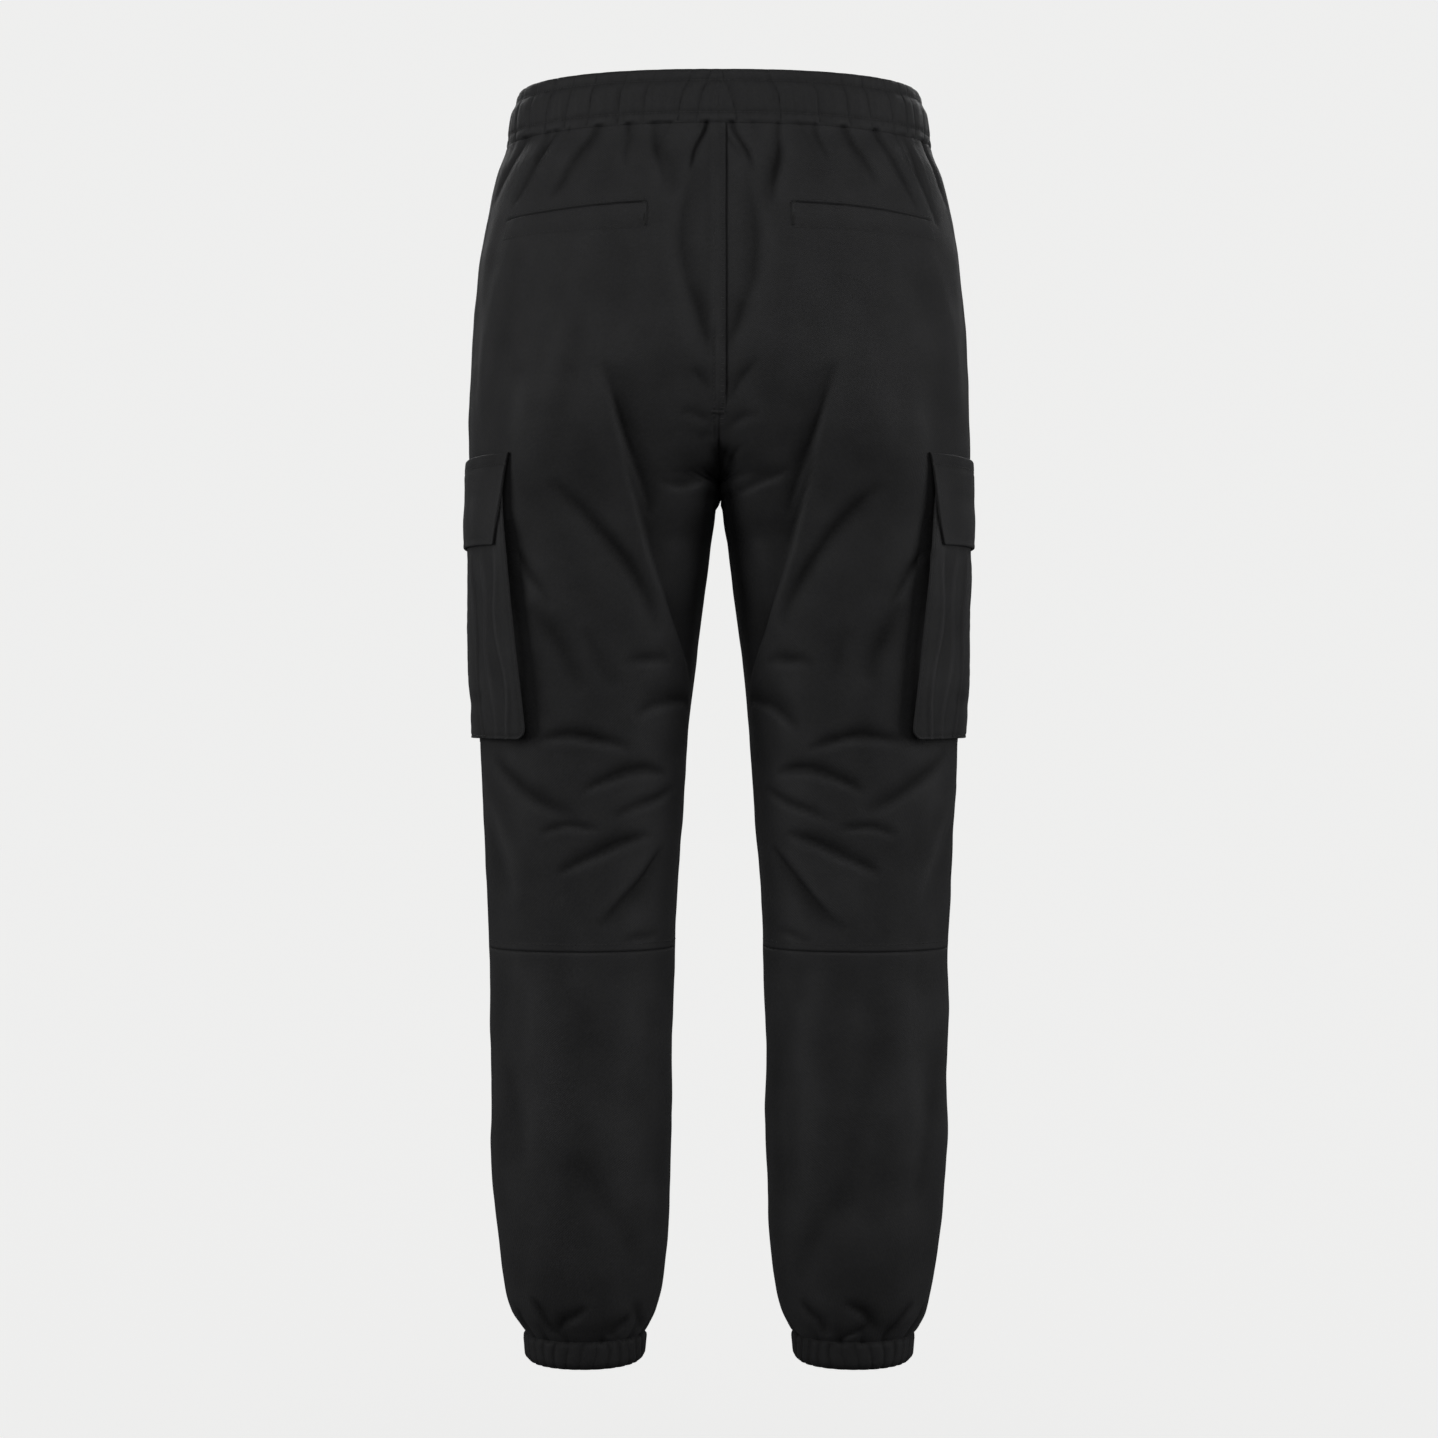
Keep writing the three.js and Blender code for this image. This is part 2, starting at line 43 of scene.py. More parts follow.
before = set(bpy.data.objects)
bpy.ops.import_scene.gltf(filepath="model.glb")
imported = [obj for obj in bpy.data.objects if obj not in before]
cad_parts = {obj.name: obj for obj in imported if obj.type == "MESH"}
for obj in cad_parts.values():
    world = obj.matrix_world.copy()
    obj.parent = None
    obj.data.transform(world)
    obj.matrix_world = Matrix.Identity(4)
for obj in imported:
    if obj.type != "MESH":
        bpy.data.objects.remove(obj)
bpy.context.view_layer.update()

MM = 0.001

# Seams and edges, in millimetres
BAND_TOP = 21
BAND_BOTTOM = -21.5
FORK = -288
KNEE_SEAM = -656
KNEE_ROW = KNEE_SEAM + 6
CUFF_TOP = -963
HEM = -985.5
SIDE_TURN = 0.16
BAND_WALL = 2.6
CUFF_WALL = 1.9
PANEL_WALL = 0.9
FACE_WALL = 1.1
FLAP_WALL = 1.4
UPPER_STITCH = 12
LOWER_STITCH = -13
SEAM_CLEAR = 0.06
HALVES_APART = 400

# Gathers at the waist and the ankle
BACK_COLUMNS = 300
FRONT_COLUMNS = 330
COLUMN_PITCH = 0.8
WAIST_WAVE = 1.3
WAIST_FADE = 22
ANKLE_GATHERS = 7
ANKLE_WAVE = 2.4
ANKLE_FADE = 13
RIB_COLUMNS = 12
CUFF_REACH = 150

# Cargo pockets
POCKET_TOP = -286
POCKET_BOTTOM = -490
POCKET_REAR = 80
POCKET_FRONT = -88
POCKET_CORNER = 9
FACE_ROW = 2.2
GUSSET_TOP = -322
GUSSET_FOLD = 7.5
GUSSET_FOOT = 3.2
FLAP_TOP = -272
FLAP_BOTTOM = -340
FLAP_REAR_TOP = 90
FLAP_REAR_BOTTOM = 71
FLAP_FRONT_TOP = -98
FLAP_FRONT_BOTTOM = -90
FLAP_RISE = 2.9
FLAP_ROW = 5
FLAP_TOP_ROW = 8

# Back pocket welts
WELT_TOP = -88
WELT_BOTTOM = -105
WELT_OUTER = 50
WELT_INNER = 176
WELT_LIFT = 1.5
WELT_TILT = 0.04

# Felled seam at the middle of the back
FELL_WIDTH = 5
FELL_LIFT = 0.8
FELL_END = -255
FELL_ROW = -3.8
FELL_LADDER = 2.6
FELL_TACK = -244
CLEFT_TOP = -180
CLEFT_FOOT = -268

# How square the inner side of each half is, by height
INNER_SQUARE = [
    (-500, 2.2),
    (-400, 2.3),
    (-340, 2.7),
    (-300, 4.5),
    (-275, 4.7),
    (-235, 3.3),
    (-190, 2.35),
    (-150, 2.3),
]

SECTIONS = [
    # z, outer, inner, back, front, square
    (21, 160.2, -160.2, 104, 100, 2.35),
    (13, 162.2, -162.2, 105, 101, 2.3),
    (4, 166, -166, 107, 102, 2.25),
    (-10, 168, -168, 108.5, 103, 2.2),
    (-21, 169.2, -169.2, 110, 104, 2.15),
    (-45, 177.6, -177.6, 118, 107, 2.2),
    (-80, 185, -185, 127, 110, 2.2),
    (-120, 192, -192, 136, 112, 2.25),
    (-160, 196, -188, 141, 113, 2.3),
    (-195, 197.6, -162, 142, 113, 2.35),
    (-225, 198.5, -108, 139, 112, 2.4),
    (-250, 198.8, -60, 134, 111, 2.4),
    (-262, 198.7, -37, 130.4, 110.2, 2.4),
    (-272, 198.4, -19, 127.3, 109.4, 2.4),
    (-282, 197.6, -6.5, 124, 108.8, 2.38),
    (-292, 196.4, 0.2, 120.7, 108.4, 2.36),
    (-299, 195.6, 0.2, 118.4, 108.1, 2.35),
    (-303, 195.1, 2.5, 117.2, 107.9, 2.34),
    (-318, 194, 4, 113.3, 107.1, 2.33),
    (-340, 192.6, 6.4, 109, 106, 2.3),
    (-400, 191.6, 14.6, 99, 101, 2.25),
    (-450, 190.6, 20.4, 91, 96, 2.2),
    (-500, 190.2, 24.8, 84, 91, 2.2),
    (-560, 187.4, 29, 76, 85, 2.2),
    (-620, 184.4, 33.4, 71, 79, 2.2),
    (-680, 182.6, 35.8, 70, 72, 2.2),
    (-740, 182.4, 37.2, 71, 65, 2.2),
    (-800, 182.2, 37, 73, 59, 2.2),
    (-850, 179.6, 38.4, 72, 55, 2.2),
    (-895, 175, 41.4, 69, 53, 2.2),
    (-925, 170.4, 44.6, 64, 51, 2.2),
    (-945, 165.4, 49.4, 58, 47, 2.2),
    (-957, 159.4, 55, 51.5, 41.5, 2.15),
    (-963, 156.2, 57.8, 48.5, 38.5, 2.1),
    (-970, 155.4, 58.8, 48, 38, 2.1),
    (-980, 154.6, 59.8, 47.4, 37.4, 2.1),
    (-985.5, 151.6, 62.6, 45, 35.4, 2.1),
]

# Folds from one end to the other. bow is how far the middle lies off the straight line, depth is
# below 0 for a trough and above 0 for a ridge. over is the half width on the side that bow counts
# as positive, which is the upper or inner one, and under is the half width on the other side. The
# narrow side of a fold is its crisp one.
FOLDS = [
    # half, g, z, to g, to z, bow, depth, under, over
    # seat
    (-1, 202, -52, 244, -196, -10, -2.4, 4.4, 12),
    (1, 200, -52, 244, -196, -9, -2.6, 4.4, 13),
    (-1, 224, -146, 246, -206, 0, -1.6, 5, 9),
    (1, 226, -160, 247, -204, 0, -1.6, 5, 9),
    (-1, 166, -34, 194, -78, 3, -1.4, 4.2, 9),
    (1, 164, -34, 196, -92, 3, -1.4, 4.2, 9),
    (-1, 164, -206, 192, -322, 6, -3.8, 3.5, 25),
    (1, 164, -207, 192, -322, 6, -3.8, 3.5, 25),
    (-1, 202, -296, 256, -284, -6, -2.4, 2.5, 10),
    (1, 198, -286, 244, -300, -4, -2.2, 2.5, 10),
    (1, 246, -268, 268, -290, 0, -1.8, 2.5, 6),
    (-1, 230, -212, 249, -228, 0, -1.4, 3, 5),
    (1, 222, -203, 249, -238, 0, -1.5, 3, 5),
    (-1, 224, -245, 252, -252, 2, -1.4, 3, 5),
    (1, 223, -245, 254, -259, 2, -1.4, 3, 5),
    (-1, 236, -264, 258, -258, 0, -1, 3, 4),
    (1, 240, -284, 262, -266, 0, -1.2, 3, 4),
    (1, 236, -268, 256, -290, 0, -1.1, 3, 4),
    # gathers below the waistband
    (-1, 40, -4, 14, -72, 3, -2.2, 4, 7),
    (-1, 82, -6, 54, -78, -3, -1.9, 3, 7),
    (-1, 112, -6, 92, -76, 3, -1.9, 3.5, 7),
    (-1, 128, -8, 150, -56, 0, -1.3, 2.2, 5),
    (-1, 144, -8, 184, -72, 2, -1.6, 2.4, 6),
    (-1, 193, -8, 199, -60, 0, -2.8, 2, 3),
    (-1, 208, -8, 208, -44, 0, -1.2, 2.2, 4),
    (-1, 60, -8, 67, -48, 0, -1.3, 2.2, 4),
    (1, 150, -6, 189, -86, 2, -2.4, 2.6, 6),
    (1, 109, -6, 99, -66, 0, -1.9, 3, 6),
    (1, 84, -8, 62, -84, -2, -2, 3, 7),
    (1, 47, -6, 40, -96, 3, -1.9, 4, 6),
    (1, 20, -8, 12, -74, 0, -1.7, 3, 6),
    (1, 128, -8, 135, -50, 0, -1.3, 2.2, 4),
    (1, 192, -8, 196, -62, 0, -2, 2.2, 3.6),
    (1, 204, -8, 202, -52, 0, -1.4, 2.2, 4),
    # side of the hip
    (-1, 62, -104, 54, -274, -9, 1.8, 14, 12),
    (1, 64, -104, 42, -250, -8, 1.8, 14, 12),
    (-1, 19, -84, 72, -256, -6, 1.4, 13, 13),
    (1, 2, -84, 48, -212, 0, 1.4, 13, 13),
    (-1, 99, -210, 92, -262, 0, 1.3, 12, 12),
    (1, 95, -210, 92, -266, 0, 1.3, 12, 12),
    # thigh
    (-1, 120, -294, 192, -410, 9, -3.6, 8, 6),
    (1, 124, -296, 190, -406, 9, -3.6, 8, 6),
    (-1, 82, -346, 108, -390, 0, -2.1, 3, 7),
    (1, 78, -344, 106, -388, 0, -2.1, 3, 7),
    (-1, 90, -386, 124, -456, 3, -2.4, 9, 10),
    (1, 94, -386, 116, -448, 4, -2.4, 9, 10),
    (-1, 131, -404, 146, -452, 0, -1.2, 7, 8),
    (1, 136, -406, 144, -450, 0, -1.2, 7, 8),
    (-1, 182, -262, 240, -446, -17, -3.2, 3, 30),
    (1, 182, -262, 232, -446, -15, -3.2, 3, 30),
    (-1, 156, -434, 204, -431, 4, -2, 3, 6),
    (1, 156, -435, 204, -431, 4, -2, 3, 6),
    (-1, 162, -474, 232, -462, 7, -2.8, 3, 15),
    (1, 166, -483, 232, -458, 5, -2.8, 3, 15),
    # behind the knee
    (-1, 86, -491, 158, -498, 5, -3.2, 2.8, 6.8),
    (1, 84, -492, 158, -498, 5, -3.2, 2.8, 6.8),
    (-1, 114, -532, 194, -518, 8, -3.2, 2.8, 6.8),
    (1, 108, -532, 188, -517, 8, -3.2, 2.8, 6.8),
    (-1, 136, -551, 202, -528, 0, -2.4, 2.4, 4.8),
    (1, 130, -555, 198, -529, 0, -2.4, 2.4, 4.8),
    (-1, 36, -506, 112, -552, -4, -2.9, 4.8, 8.8),
    (1, 34, -500, 108, -548, -3, -2.9, 4.8, 8.8),
    (-1, 78, -563, 126, -560, 3, -2.1, 2.4, 4.1),
    (1, 78, -565, 126, -560, 3, -2.1, 2.4, 4.1),
    (-1, 88, -596, 170, -565, 4, -3.2, 2.8, 7.5),
    (1, 88, -596, 170, -564, 3, -3.2, 2.8, 7.5),
    (-1, 118, -637, 182, -574, 0, -3, 15, 3),
    (1, 114, -640, 186, -574, 0, -3, 15, 3),
    (-1, 136, -648, 174, -643, 0, -1.1, 2.4, 4.1),
    (1, 140, -648, 178, -640, 0, -1.1, 2.4, 4.1),
    (-1, 14, -524, 56, -622, 6, 1.9, 9, 7),
    (1, 4, -524, 56, -620, 6, 1.9, 9, 7),
    # calf
    (-1, 70, -668, 62, -900, 5, 1.6, 16, 18),
    (1, 66, -668, 68, -905, -5, 1.6, 16, 18),
    (-1, 146, -670, 132, -880, -4, 1.4, 18, 14),
    (1, 140, -672, 138, -870, 4, 1.4, 18, 14),
    (-1, 20, -700, 60, -820, 0, -1.3, 12, 16),
    (1, 24, -720, 56, -860, 0, -1.3, 12, 16),
    (-1, 100, -810, 146, -905, 4, -1.4, 12, 14),
    (1, 104, -830, 150, -915, 4, -1.4, 12, 14),
    # above the cuff
    (-1, 48, -926, 56, -962, 0, -2.5, 3, 7),
    (-1, 92, -932, 56, -954, 0, -2.3, 5, 2),
    (-1, 92, -960, 126, -940, 0, -2.3, 2, 6),
    (-1, 24, -936, 20, -962, 0, -2, 4, 5),
    (-1, 134, -930, 128, -960, 0, -2, 4, 5),
    (1, 100, -927, 60, -952, 0, -2.3, 5, 2),
    (1, 136, -930, 94, -958, 0, -2.3, 5, 2),
    (1, 40, -930, 50, -962, 0, -2.3, 3, 7),
    (1, 18, -934, 24, -962, 0, -2, 4, 5),
    (1, 70, -946, 84, -963, 0, -1.6, 3, 4),
    # front of the hip and thigh
    (-1, -254, -170, -176, -262, 8, -3, 5, 15),
    (1, -254, -176, -180, -256, 8, -3, 5, 15),
    (-1, -300, -262, -196, -214, -8, -3.4, 6, 14),
    (1, -304, -264, -200, -208, -8, -3.4, 6, 14),
    (-1, -290, -300, -176, -332, 10, -3, 12, 6),
    (1, -292, -304, -182, -324, 10, -3, 12, 6),
    (-1, -66, -104, -58, -268, 6, 1.7, 13, 13),
    (1, -70, -110, -52, -262, -6, 1.7, 13, 13),
    (-1, -130, -330, -196, -452, 8, -3, 9, 11),
    (1, -134, -340, -190, -460, 8, -3, 9, 11),
    (-1, -104, -432, -190, -486, 8, -2.2, 4, 9),
    (1, -106, -440, -186, -498, 8, -2.2, 4, 9),
    # front of the knee
    (-1, -60, -552, -186, -584, 10, -2.7, 10, 4),
    (1, -56, -544, -180, -580, 10, -2.7, 10, 4),
    (-1, -80, -610, -190, -592, -6, -2.2, 9, 4),
    (1, -76, -616, -196, -600, -6, -2.2, 9, 4),
    (-1, -70, -724, -176, -696, 8, -1.9, 10, 12),
    (1, -64, -700, -182, -722, 8, -1.9, 10, 12),
    (-1, -60, -668, -66, -900, 5, 1.6, 16, 16),
    (1, -66, -668, -58, -905, -5, 1.6, 16, 16),
    (-1, -130, -760, -124, -905, 4, 1.4, 14, 14),
    (1, -126, -740, -134, -900, -4, 1.4, 14, 14),
    (-1, -40, -928, -52, -962, 0, -2.1, 3, 6),
    (-1, -92, -934, -120, -960, 0, -2.1, 4, 5),
    (1, -46, -932, -36, -962, 0, -2.1, 3, 6),
    (1, -124, -930, -96, -958, 0, -2.1, 4, 5),
]

# Troughs of the gathers, as girth from the side seam
BACK_GATHERS = {
    -1: (0, 22, 44, 66, 86, 112, 136, 168, 190, 212),
    1: (0, 18, 36, 58, 80, 108, 142, 180, 196, 212),
}
FRONT_GATHERS = 9
BAND_GATHERS = {
    -1: (0, 20, 41, 61, 81, 100, 125, 146, 173, 188, 212),
    1: (0, 15, 33, 43, 61, 82, 101, 126, 156, 192, 212),
}
BAND_FRONT_GATHERS = {
    -1: (0, 22, 39, 64, 88, 105, 131, 152, 178, 196, 221, 246),
    1: (0, 18, 42, 60, 86, 108, 127, 154, 172, 199, 222, 246),
}

# Fine lengthwise creases of a pocket's face: g, height and where along its wave each starts
POCKET_CREASES = [(67, 1.7, 0), (52, 1, 1.7), (30, 1.2, 3), (-14, 1, 4.4), (-52, 1.3, 0.8)]

POCKET_LIFT = [
    # z, lift
    (-272, 0.1),
    (-286, 2.4),
    (-300, 4.2),
    (-320, 6.2),
    (-345, 7.9),
    (-400, 8.4),
    (-440, 8.4),
    (-465, 7.6),
    (-490, 6.4),
]


# Numbers and tables


def smooth(value):
    t = np.clip(value, 0, 1)
    return t * t * (3 - 2 * t)


def mix(low, high, share):
    return low + (high - low) * share


def bell(offset, width, power=2.0):
    return np.exp(-np.abs(offset / width) ** power)


def curve(rows, column, z):
    """Value of a table's column at the heights z, on a smooth curve that never overshoots."""
    data = np.array(sorted(rows), float)
    heights, values = data[:, 0], data[:, column]
    rise = np.diff(values) / np.diff(heights)
    before, after = rise[:-1], rise[1:]
    same = before * after > 0
    middle = np.where(same, 2 * before * after / np.where(same, before + after, 1), 0)
    slope = np.concatenate([rise[:1], middle, rise[-1:]])
    z = np.clip(z, heights[0], heights[-1])
    i = np.clip(np.searchsorted(heights, z) - 1, 0, len(heights) - 2)
    step = heights[i + 1] - heights[i]
    t = (z - heights[i]) / step
    bend = t * t * (3 - 2 * t)
    lead = t * (1 - t) ** 2 * step * slope[i]
    tail = t * t * (t - 1) * step * slope[i + 1]
    return mix(values[i], values[i + 1], bend) + lead + tail


# The bare form, looked up from a close grid of heights and ways round

LEVEL_STEP = 0.5
LEVELS = np.arange(HEM, BAND_TOP + LEVEL_STEP, LEVEL_STEP)
WAYS = 400


def calmed(values, reach):
    """Means of the values over reach places on either side."""
    count = 2 * reach + 1
    return np.convolve(np.pad(values, reach, mode="edge"), np.ones(count) / count, "valid")


def trace_form():
    """Girths and points of the right half's sections, for the back and for the front."""
    outer, inner, back, front, square = (
        curve(SECTIONS, k, LEVELS)[:, None] for k in range(1, 6)
    )
    middle = (outer[:, 0] + inner[:, 0]) / 2
    for _ in range(2):
        middle = calmed(middle, 32)
    middle = middle[:, None]
    near = (LEVELS > INNER_SQUARE[0][0]) & (LEVELS < INNER_SQUARE[-1][0])
    rounding = np.where(near, curve(INNER_SQUARE, 1, LEVELS), square[:, 0])[:, None]
    start = np.arccos(np.clip(middle / (middle - inner), 0, 1) ** (rounding / 2))
    side = math.pi - SIDE_TURN
    share = np.linspace(0, 1, 2 * WAYS + 1)
    girths, points = [], []
    for end in (start, 2 * math.pi - start):
        turn = mix(side, end, share)
        across, along = np.cos(turn), np.sin(turn)
        deep = np.where(along > 0, back, front)
        reach = np.where(across > 0, middle - inner, outer - middle)
        power = 2 / np.where(across > 0, rounding, square)
        x = middle - reach * np.sign(across) * np.abs(across) ** power
        y = -deep * np.sign(along) * np.abs(along) ** power
        way = np.cumsum(np.hypot(np.diff(x, prepend=x[:, :1]), np.diff(y, prepend=y[:, :1])), 1)
        even = np.linspace(0, 1, WAYS + 1)
        rows = [
            (np.interp(even * w[-1], w, a), np.interp(even * w[-1], w, b))
            for w, a, b in zip(way, x, y)
        ]
        girths.append(way[:, -1])
        points.append(np.array(rows).transpose(0, 2, 1))
    return np.array(girths), np.array(points)


GIRTHS, POINTS = trace_form()


def girth(side, z):
    """Way round a half at height z, for side 0, the back, or side 1, the front."""
    return np.interp(z, LEVELS, GIRTHS[side])


def bare(half, u, z):
    """Point of the form without folds. u is 1 at the back's far edge and -1 at the front's."""
    level = np.clip((z - LEVELS[0]) / LEVEL_STEP, 0, len(LEVELS) - 1.001)
    way = np.clip(np.abs(u), 0, 1) * (WAYS - 0.001)
    side = (u < 0).astype(int)
    i, j = level.astype(int), way.astype(int)
    a, b = (level - i)[..., None], (way - j)[..., None]
    low = mix(POINTS[side, i, j], POINTS[side, i, j + 1], b)
    high = mix(POINTS[side, i + 1, j], POINTS[side, i + 1, j + 1], b)
    flat = mix(low, high, a)
    return np.stack([half * flat[..., 0], flat[..., 1], z + 0 * flat[..., 0]], -1)


def at_girth(half, g, z):
    long = np.where(g >= 0, girth(0, z), girth(1, z))
    return bare(half, np.clip(g / long, -1, 1), z)


def outward(half, g, z):
    """Direction out of the form.

    It lies level at the seams that run round and beyond them, and in the middle plane where the
    halves join.
    """
    round_way = at_girth(half, g + 1.2, z) - at_girth(half, g - 1.2, z)
    up = at_girth(half, g, z + 1.2) - at_girth(half, g, z - 1.2)
    out = -half * np.cross(round_way, up)
    near = np.minimum(BAND_BOTTOM - z, z - CUFF_TOP)
    out[..., 2] *= smooth(near / 10)
    gap = np.where(g >= 0, girth(0, z), girth(1, z)) - np.abs(g)
    out[..., 0] *= mix(1, smooth(gap / 10), smooth((z - FORK) / 6))
    return out / np.linalg.norm(out, axis=-1, keepdims=True)


def drift(points):
    """Slow unevenness of hanging cloth, the same on both sides of every seam."""
    chance = np.random.default_rng(7)
    total = 0
    for length in (120, 86, 64, 49, 38, 30, 24, 19):
        for _ in range(4):
            way = chance.normal(size=3) * (1, 1, 0.7)
            way *= 2 * math.pi / (length * np.linalg.norm(way))
            total = total + (length / 120) * np.sin(points @ way + chance.uniform(0, 6.28))
    return total * 0.42


def crests(troughs, g, narrow=0.6):
    """Gathers between their troughs: 0 in a trough and 1 on a crest."""
    troughs = np.array(troughs, float)
    i = np.clip(np.searchsorted(troughs, g, side="right") - 1, 0, len(troughs) - 2)
    share = np.clip((g - troughs[i]) / (troughs[i + 1] - troughs[i]), 0, 1)
    size = 0.72 + 0.28 * np.sin(i * 2.4 + 1)
    return 1 - size * (1 - np.sin(math.pi * share) ** narrow)


def waist_gathers(half, g, z):
    front = np.linspace(0, 1, FRONT_GATHERS + 1)
    share = -g / girth(1, np.minimum(z, BAND_BOTTOM))
    return np.where(g >= 0, crests(BACK_GATHERS[half], g, 0.5), crests(front, share, 0.5))


def fold(row, g, z):
    _, g0, z0, g1, z1, bow, depth, under, over = row
    long = math.hypot(g1 - g0, z1 - z0)
    dir_g, dir_z = (g1 - g0) / long, (z1 - z0) / long
    t = np.clip(((g - g0) * dir_g + (z - z0) * dir_z) / long, 0, 1)
    stray = 0.9 * np.sin(2 + 7 * t + g0) * min(1, long / 40)
    off = (z - z0) * dir_g - (g - g0) * dir_z - (bow + stray) * 4 * t * (1 - t)
    crisp = min(under, over)
    beyond = math.copysign(2.3 * crisp, under - over)
    lip = 0.16 * (1 - crisp / max(under, over)) * bell(off - beyond, 1.3 * crisp)
    width = np.where(off > 0, over, under)
    width = np.where(width > crisp, mix(crisp, width, np.sin(math.pi * t) ** 0.8), width)
    core = 0.3 * bell(off, 1.8) * (0.6 + 0.4 * np.sin(11 * t + g1)) if crisp < 4 else 0
    return depth * (bell(off, width, 1.7) + core - lip) * np.sin(math.pi * t) ** 0.7


def relief(half, g, z, points):
    """How far the cloth stands off the bare form."""
    settings = bpy.context.scene.trousers_cloth
    total = drift(points) * settings.drift
    for row in FOLDS:
        if row[0] == half:
            side = g >= 0 if row[1] > 0 else g < 0
            total = total + np.where(side, fold(row, g, z), 0)
    waist = WAIST_WAVE * np.exp((z - BAND_BOTTOM) / WAIST_FADE)
    total = total + waist * (waist_gathers(half, g, z) - 1)
    share = np.abs(g) / np.where(g >= 0, girth(0, z), girth(1, z))
    share = share + 0.035 * np.sin(9 * share + 2 * half + np.where(g >= 0, 0, 1.5))
    ankle = ANKLE_WAVE * np.exp((CUFF_TOP - z) / ANKLE_FADE)
    puffs = np.abs(np.sin(math.pi * ANKLE_GATHERS * share)) ** 0.6
    return total + ankle * (puffs - 1)


def lean(points):
    """The middle seam of the front lies a little to the side of the one on the back."""
    x, y, z = points[..., 0], points[..., 1], points[..., 2]
    return 1.6 * smooth((z + 304) / 8) * smooth((y + 40) / 60) * bell(x, 14)


def cloth(half, g, z, lift=0.0):
    """Points of the cloth at g and z, moved out by lift, the ways out there and the heights.

    g may run on over the middle seam of the back, on to the other half.
    """
    g, z = np.broadcast_arrays(np.asarray(g, float), np.asarray(z, float))
    long = np.where(g >= 0, girth(0, z), girth(1, z))
    over = g > long
    g = np.where(over, 2 * long - g, g)
    points = bare(half, g / long, z)
    out = outward(half, g, z)
    other = points * (-1, 1, 1)
    share = (1 - smooth((long - np.abs(g)) / 14)) * smooth((z - FORK) / 10) / 2
    share = np.where(over, 1 - share, share)
    high = mix(relief(half, g, z, points), relief(-half, g, z, other), share) + lift
    points = points + out * high[..., None]
    points[..., 0] = half * np.maximum(half * points[..., 0], SEAM_CLEAR)
    points *= np.where(over[..., None], (-1, 1, 1), 1)
    points[..., 0] += lean(points)
    return points, out * np.where(over[..., None], (-1, 1, 1), 1), high


# Meshes


def lit_pieces():
    """The pieces that the softboxes light."""
    name = "trousers"
    return bpy.data.collections.get(name) or bpy.data.collections.new(name)


def mark_cloth(mesh, marks):
    """Lays the cloth's places, one for each corner of a face, into the layer cloth."""
    layer = mesh.uv_layers.new(name="cloth")
    layer.data.foreach_set("uv", marks.astype(np.float32).ravel())


def corners_of(mesh):
    """The point at each corner of each face."""
    corner = np.empty(len(mesh.loops), int)
    mesh.loops.foreach_get("vertex_index", corner)
    return corner


def place(name, mesh, finish, replaces=None):
    """A finished piece that rides on the body."""
    piece = bpy.data.objects.new(name, mesh)
    bpy.context.scene.collection.objects.link(piece)
    mesh.materials.append(finish)
    if replaces:
        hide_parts(replaces)
    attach(piece, "root")
    lit_pieces().objects.link(piece)
    return piece


def paint_light_by_height(high, most=0.35):
    """Painted highlight on crests, up to most, and painted shade in troughs, down to -1, from how
    high the cloth stands.
    """
    near = high
    for _ in range(2):
        wide = np.pad(near, 5, mode="edge")
        near = sum(
            wide[5 + a : 5 + a + high.shape[0], 5 + b : 5 + b + high.shape[1]]
            for a in (-5, -3, 0, 3, 5)
            for b in (-5, -3, 0, 3, 5)
        ) / 25
    return np.clip((high - near) / 2, -1, most)


def shell(name, outer, inner, marks, painted_shading, closed=(False, False)):
    """Mesh of a thin wall from its outer and inner points, in rows and columns.

    closed says whether the rows and the columns join up end to end.
    """
    rows, columns = outer.shape[:2]
    count = rows * columns
    index = np.arange(count).reshape(rows, columns)
    wrap = np.pad(index, ((0, int(closed[0])), (0, int(closed[1]))), mode="wrap")
    a, b, c, d = wrap[:-1, :-1], wrap[:-1, 1:], wrap[1:, 1:], wrap[1:, :-1]
    front = np.stack([a, b, c, d], -1).reshape(-1, 4)
    faces = [front]
    rims = []
    if inner is not None:
        faces.append(front[:, ::-1] + count)
        edges = []
        if not closed[0]:
            edges += [wrap[0, ::-1], wrap[-1]]
        if not closed[1]:
            edges += [wrap[:, 0], wrap[::-1, -1]]
        for edge in edges:
            p, q = edge[:-1], edge[1:]
            faces.append(np.stack([p, p + count, q + count, q], -1)[:, ::-1])
            rims += [np.stack([p, q], -1), np.stack([p, q], -1) + count]
    faces = np.concatenate(faces)
    points = outer.reshape(-1, 3)
    if inner is not None:
        points = np.concatenate([points, inner.reshape(-1, 3)])
    corners = points[front]
    normals = np.cross(corners[:, 2] - corners[:, 0], corners[:, 3] - corners[:, 1])
    if inner is None:
        centre = points.mean(0)
        away = corners.mean(1) - centre
    else:
        away = corners.mean(1) - points[count:][front].mean(1)
    if (normals * away).sum() < 0:
        faces = faces[:, ::-1]
    mesh = bpy.data.meshes.new(name)
    mesh.from_pydata((points * MM).tolist(), [], faces.tolist())
    mesh.shade_smooth()
    copies = 1 if inner is None else 2
    marks = np.tile(marks.reshape(-1, 2) * MM, (copies, 1))
    mark_cloth(mesh, marks[corners_of(mesh)])
    # Painted highlight and painted shade for each point, read by the twill's colour
    painted_light = mesh.attributes.new("painted_light", "FLOAT", "POINT")
    painted_light.data.foreach_set("value", np.tile(painted_shading.ravel(), copies).astype(np.float32))
    if rims:
        key = np.sort(np.concatenate(rims), 1)
        ends = np.empty(2 * len(mesh.edges), int)
        mesh.edges.foreach_get("vertices", ends)
        ends = np.sort(ends.reshape(-1, 2), 1)
        sharp = np.isin(ends[:, 0] * len(points) + ends[:, 1], key[:, 0] * len(points) + key[:, 1])
        mesh.attributes.new("sharp_edge", "BOOLEAN", "EDGE").data.foreach_set("value", sharp)
    return mesh


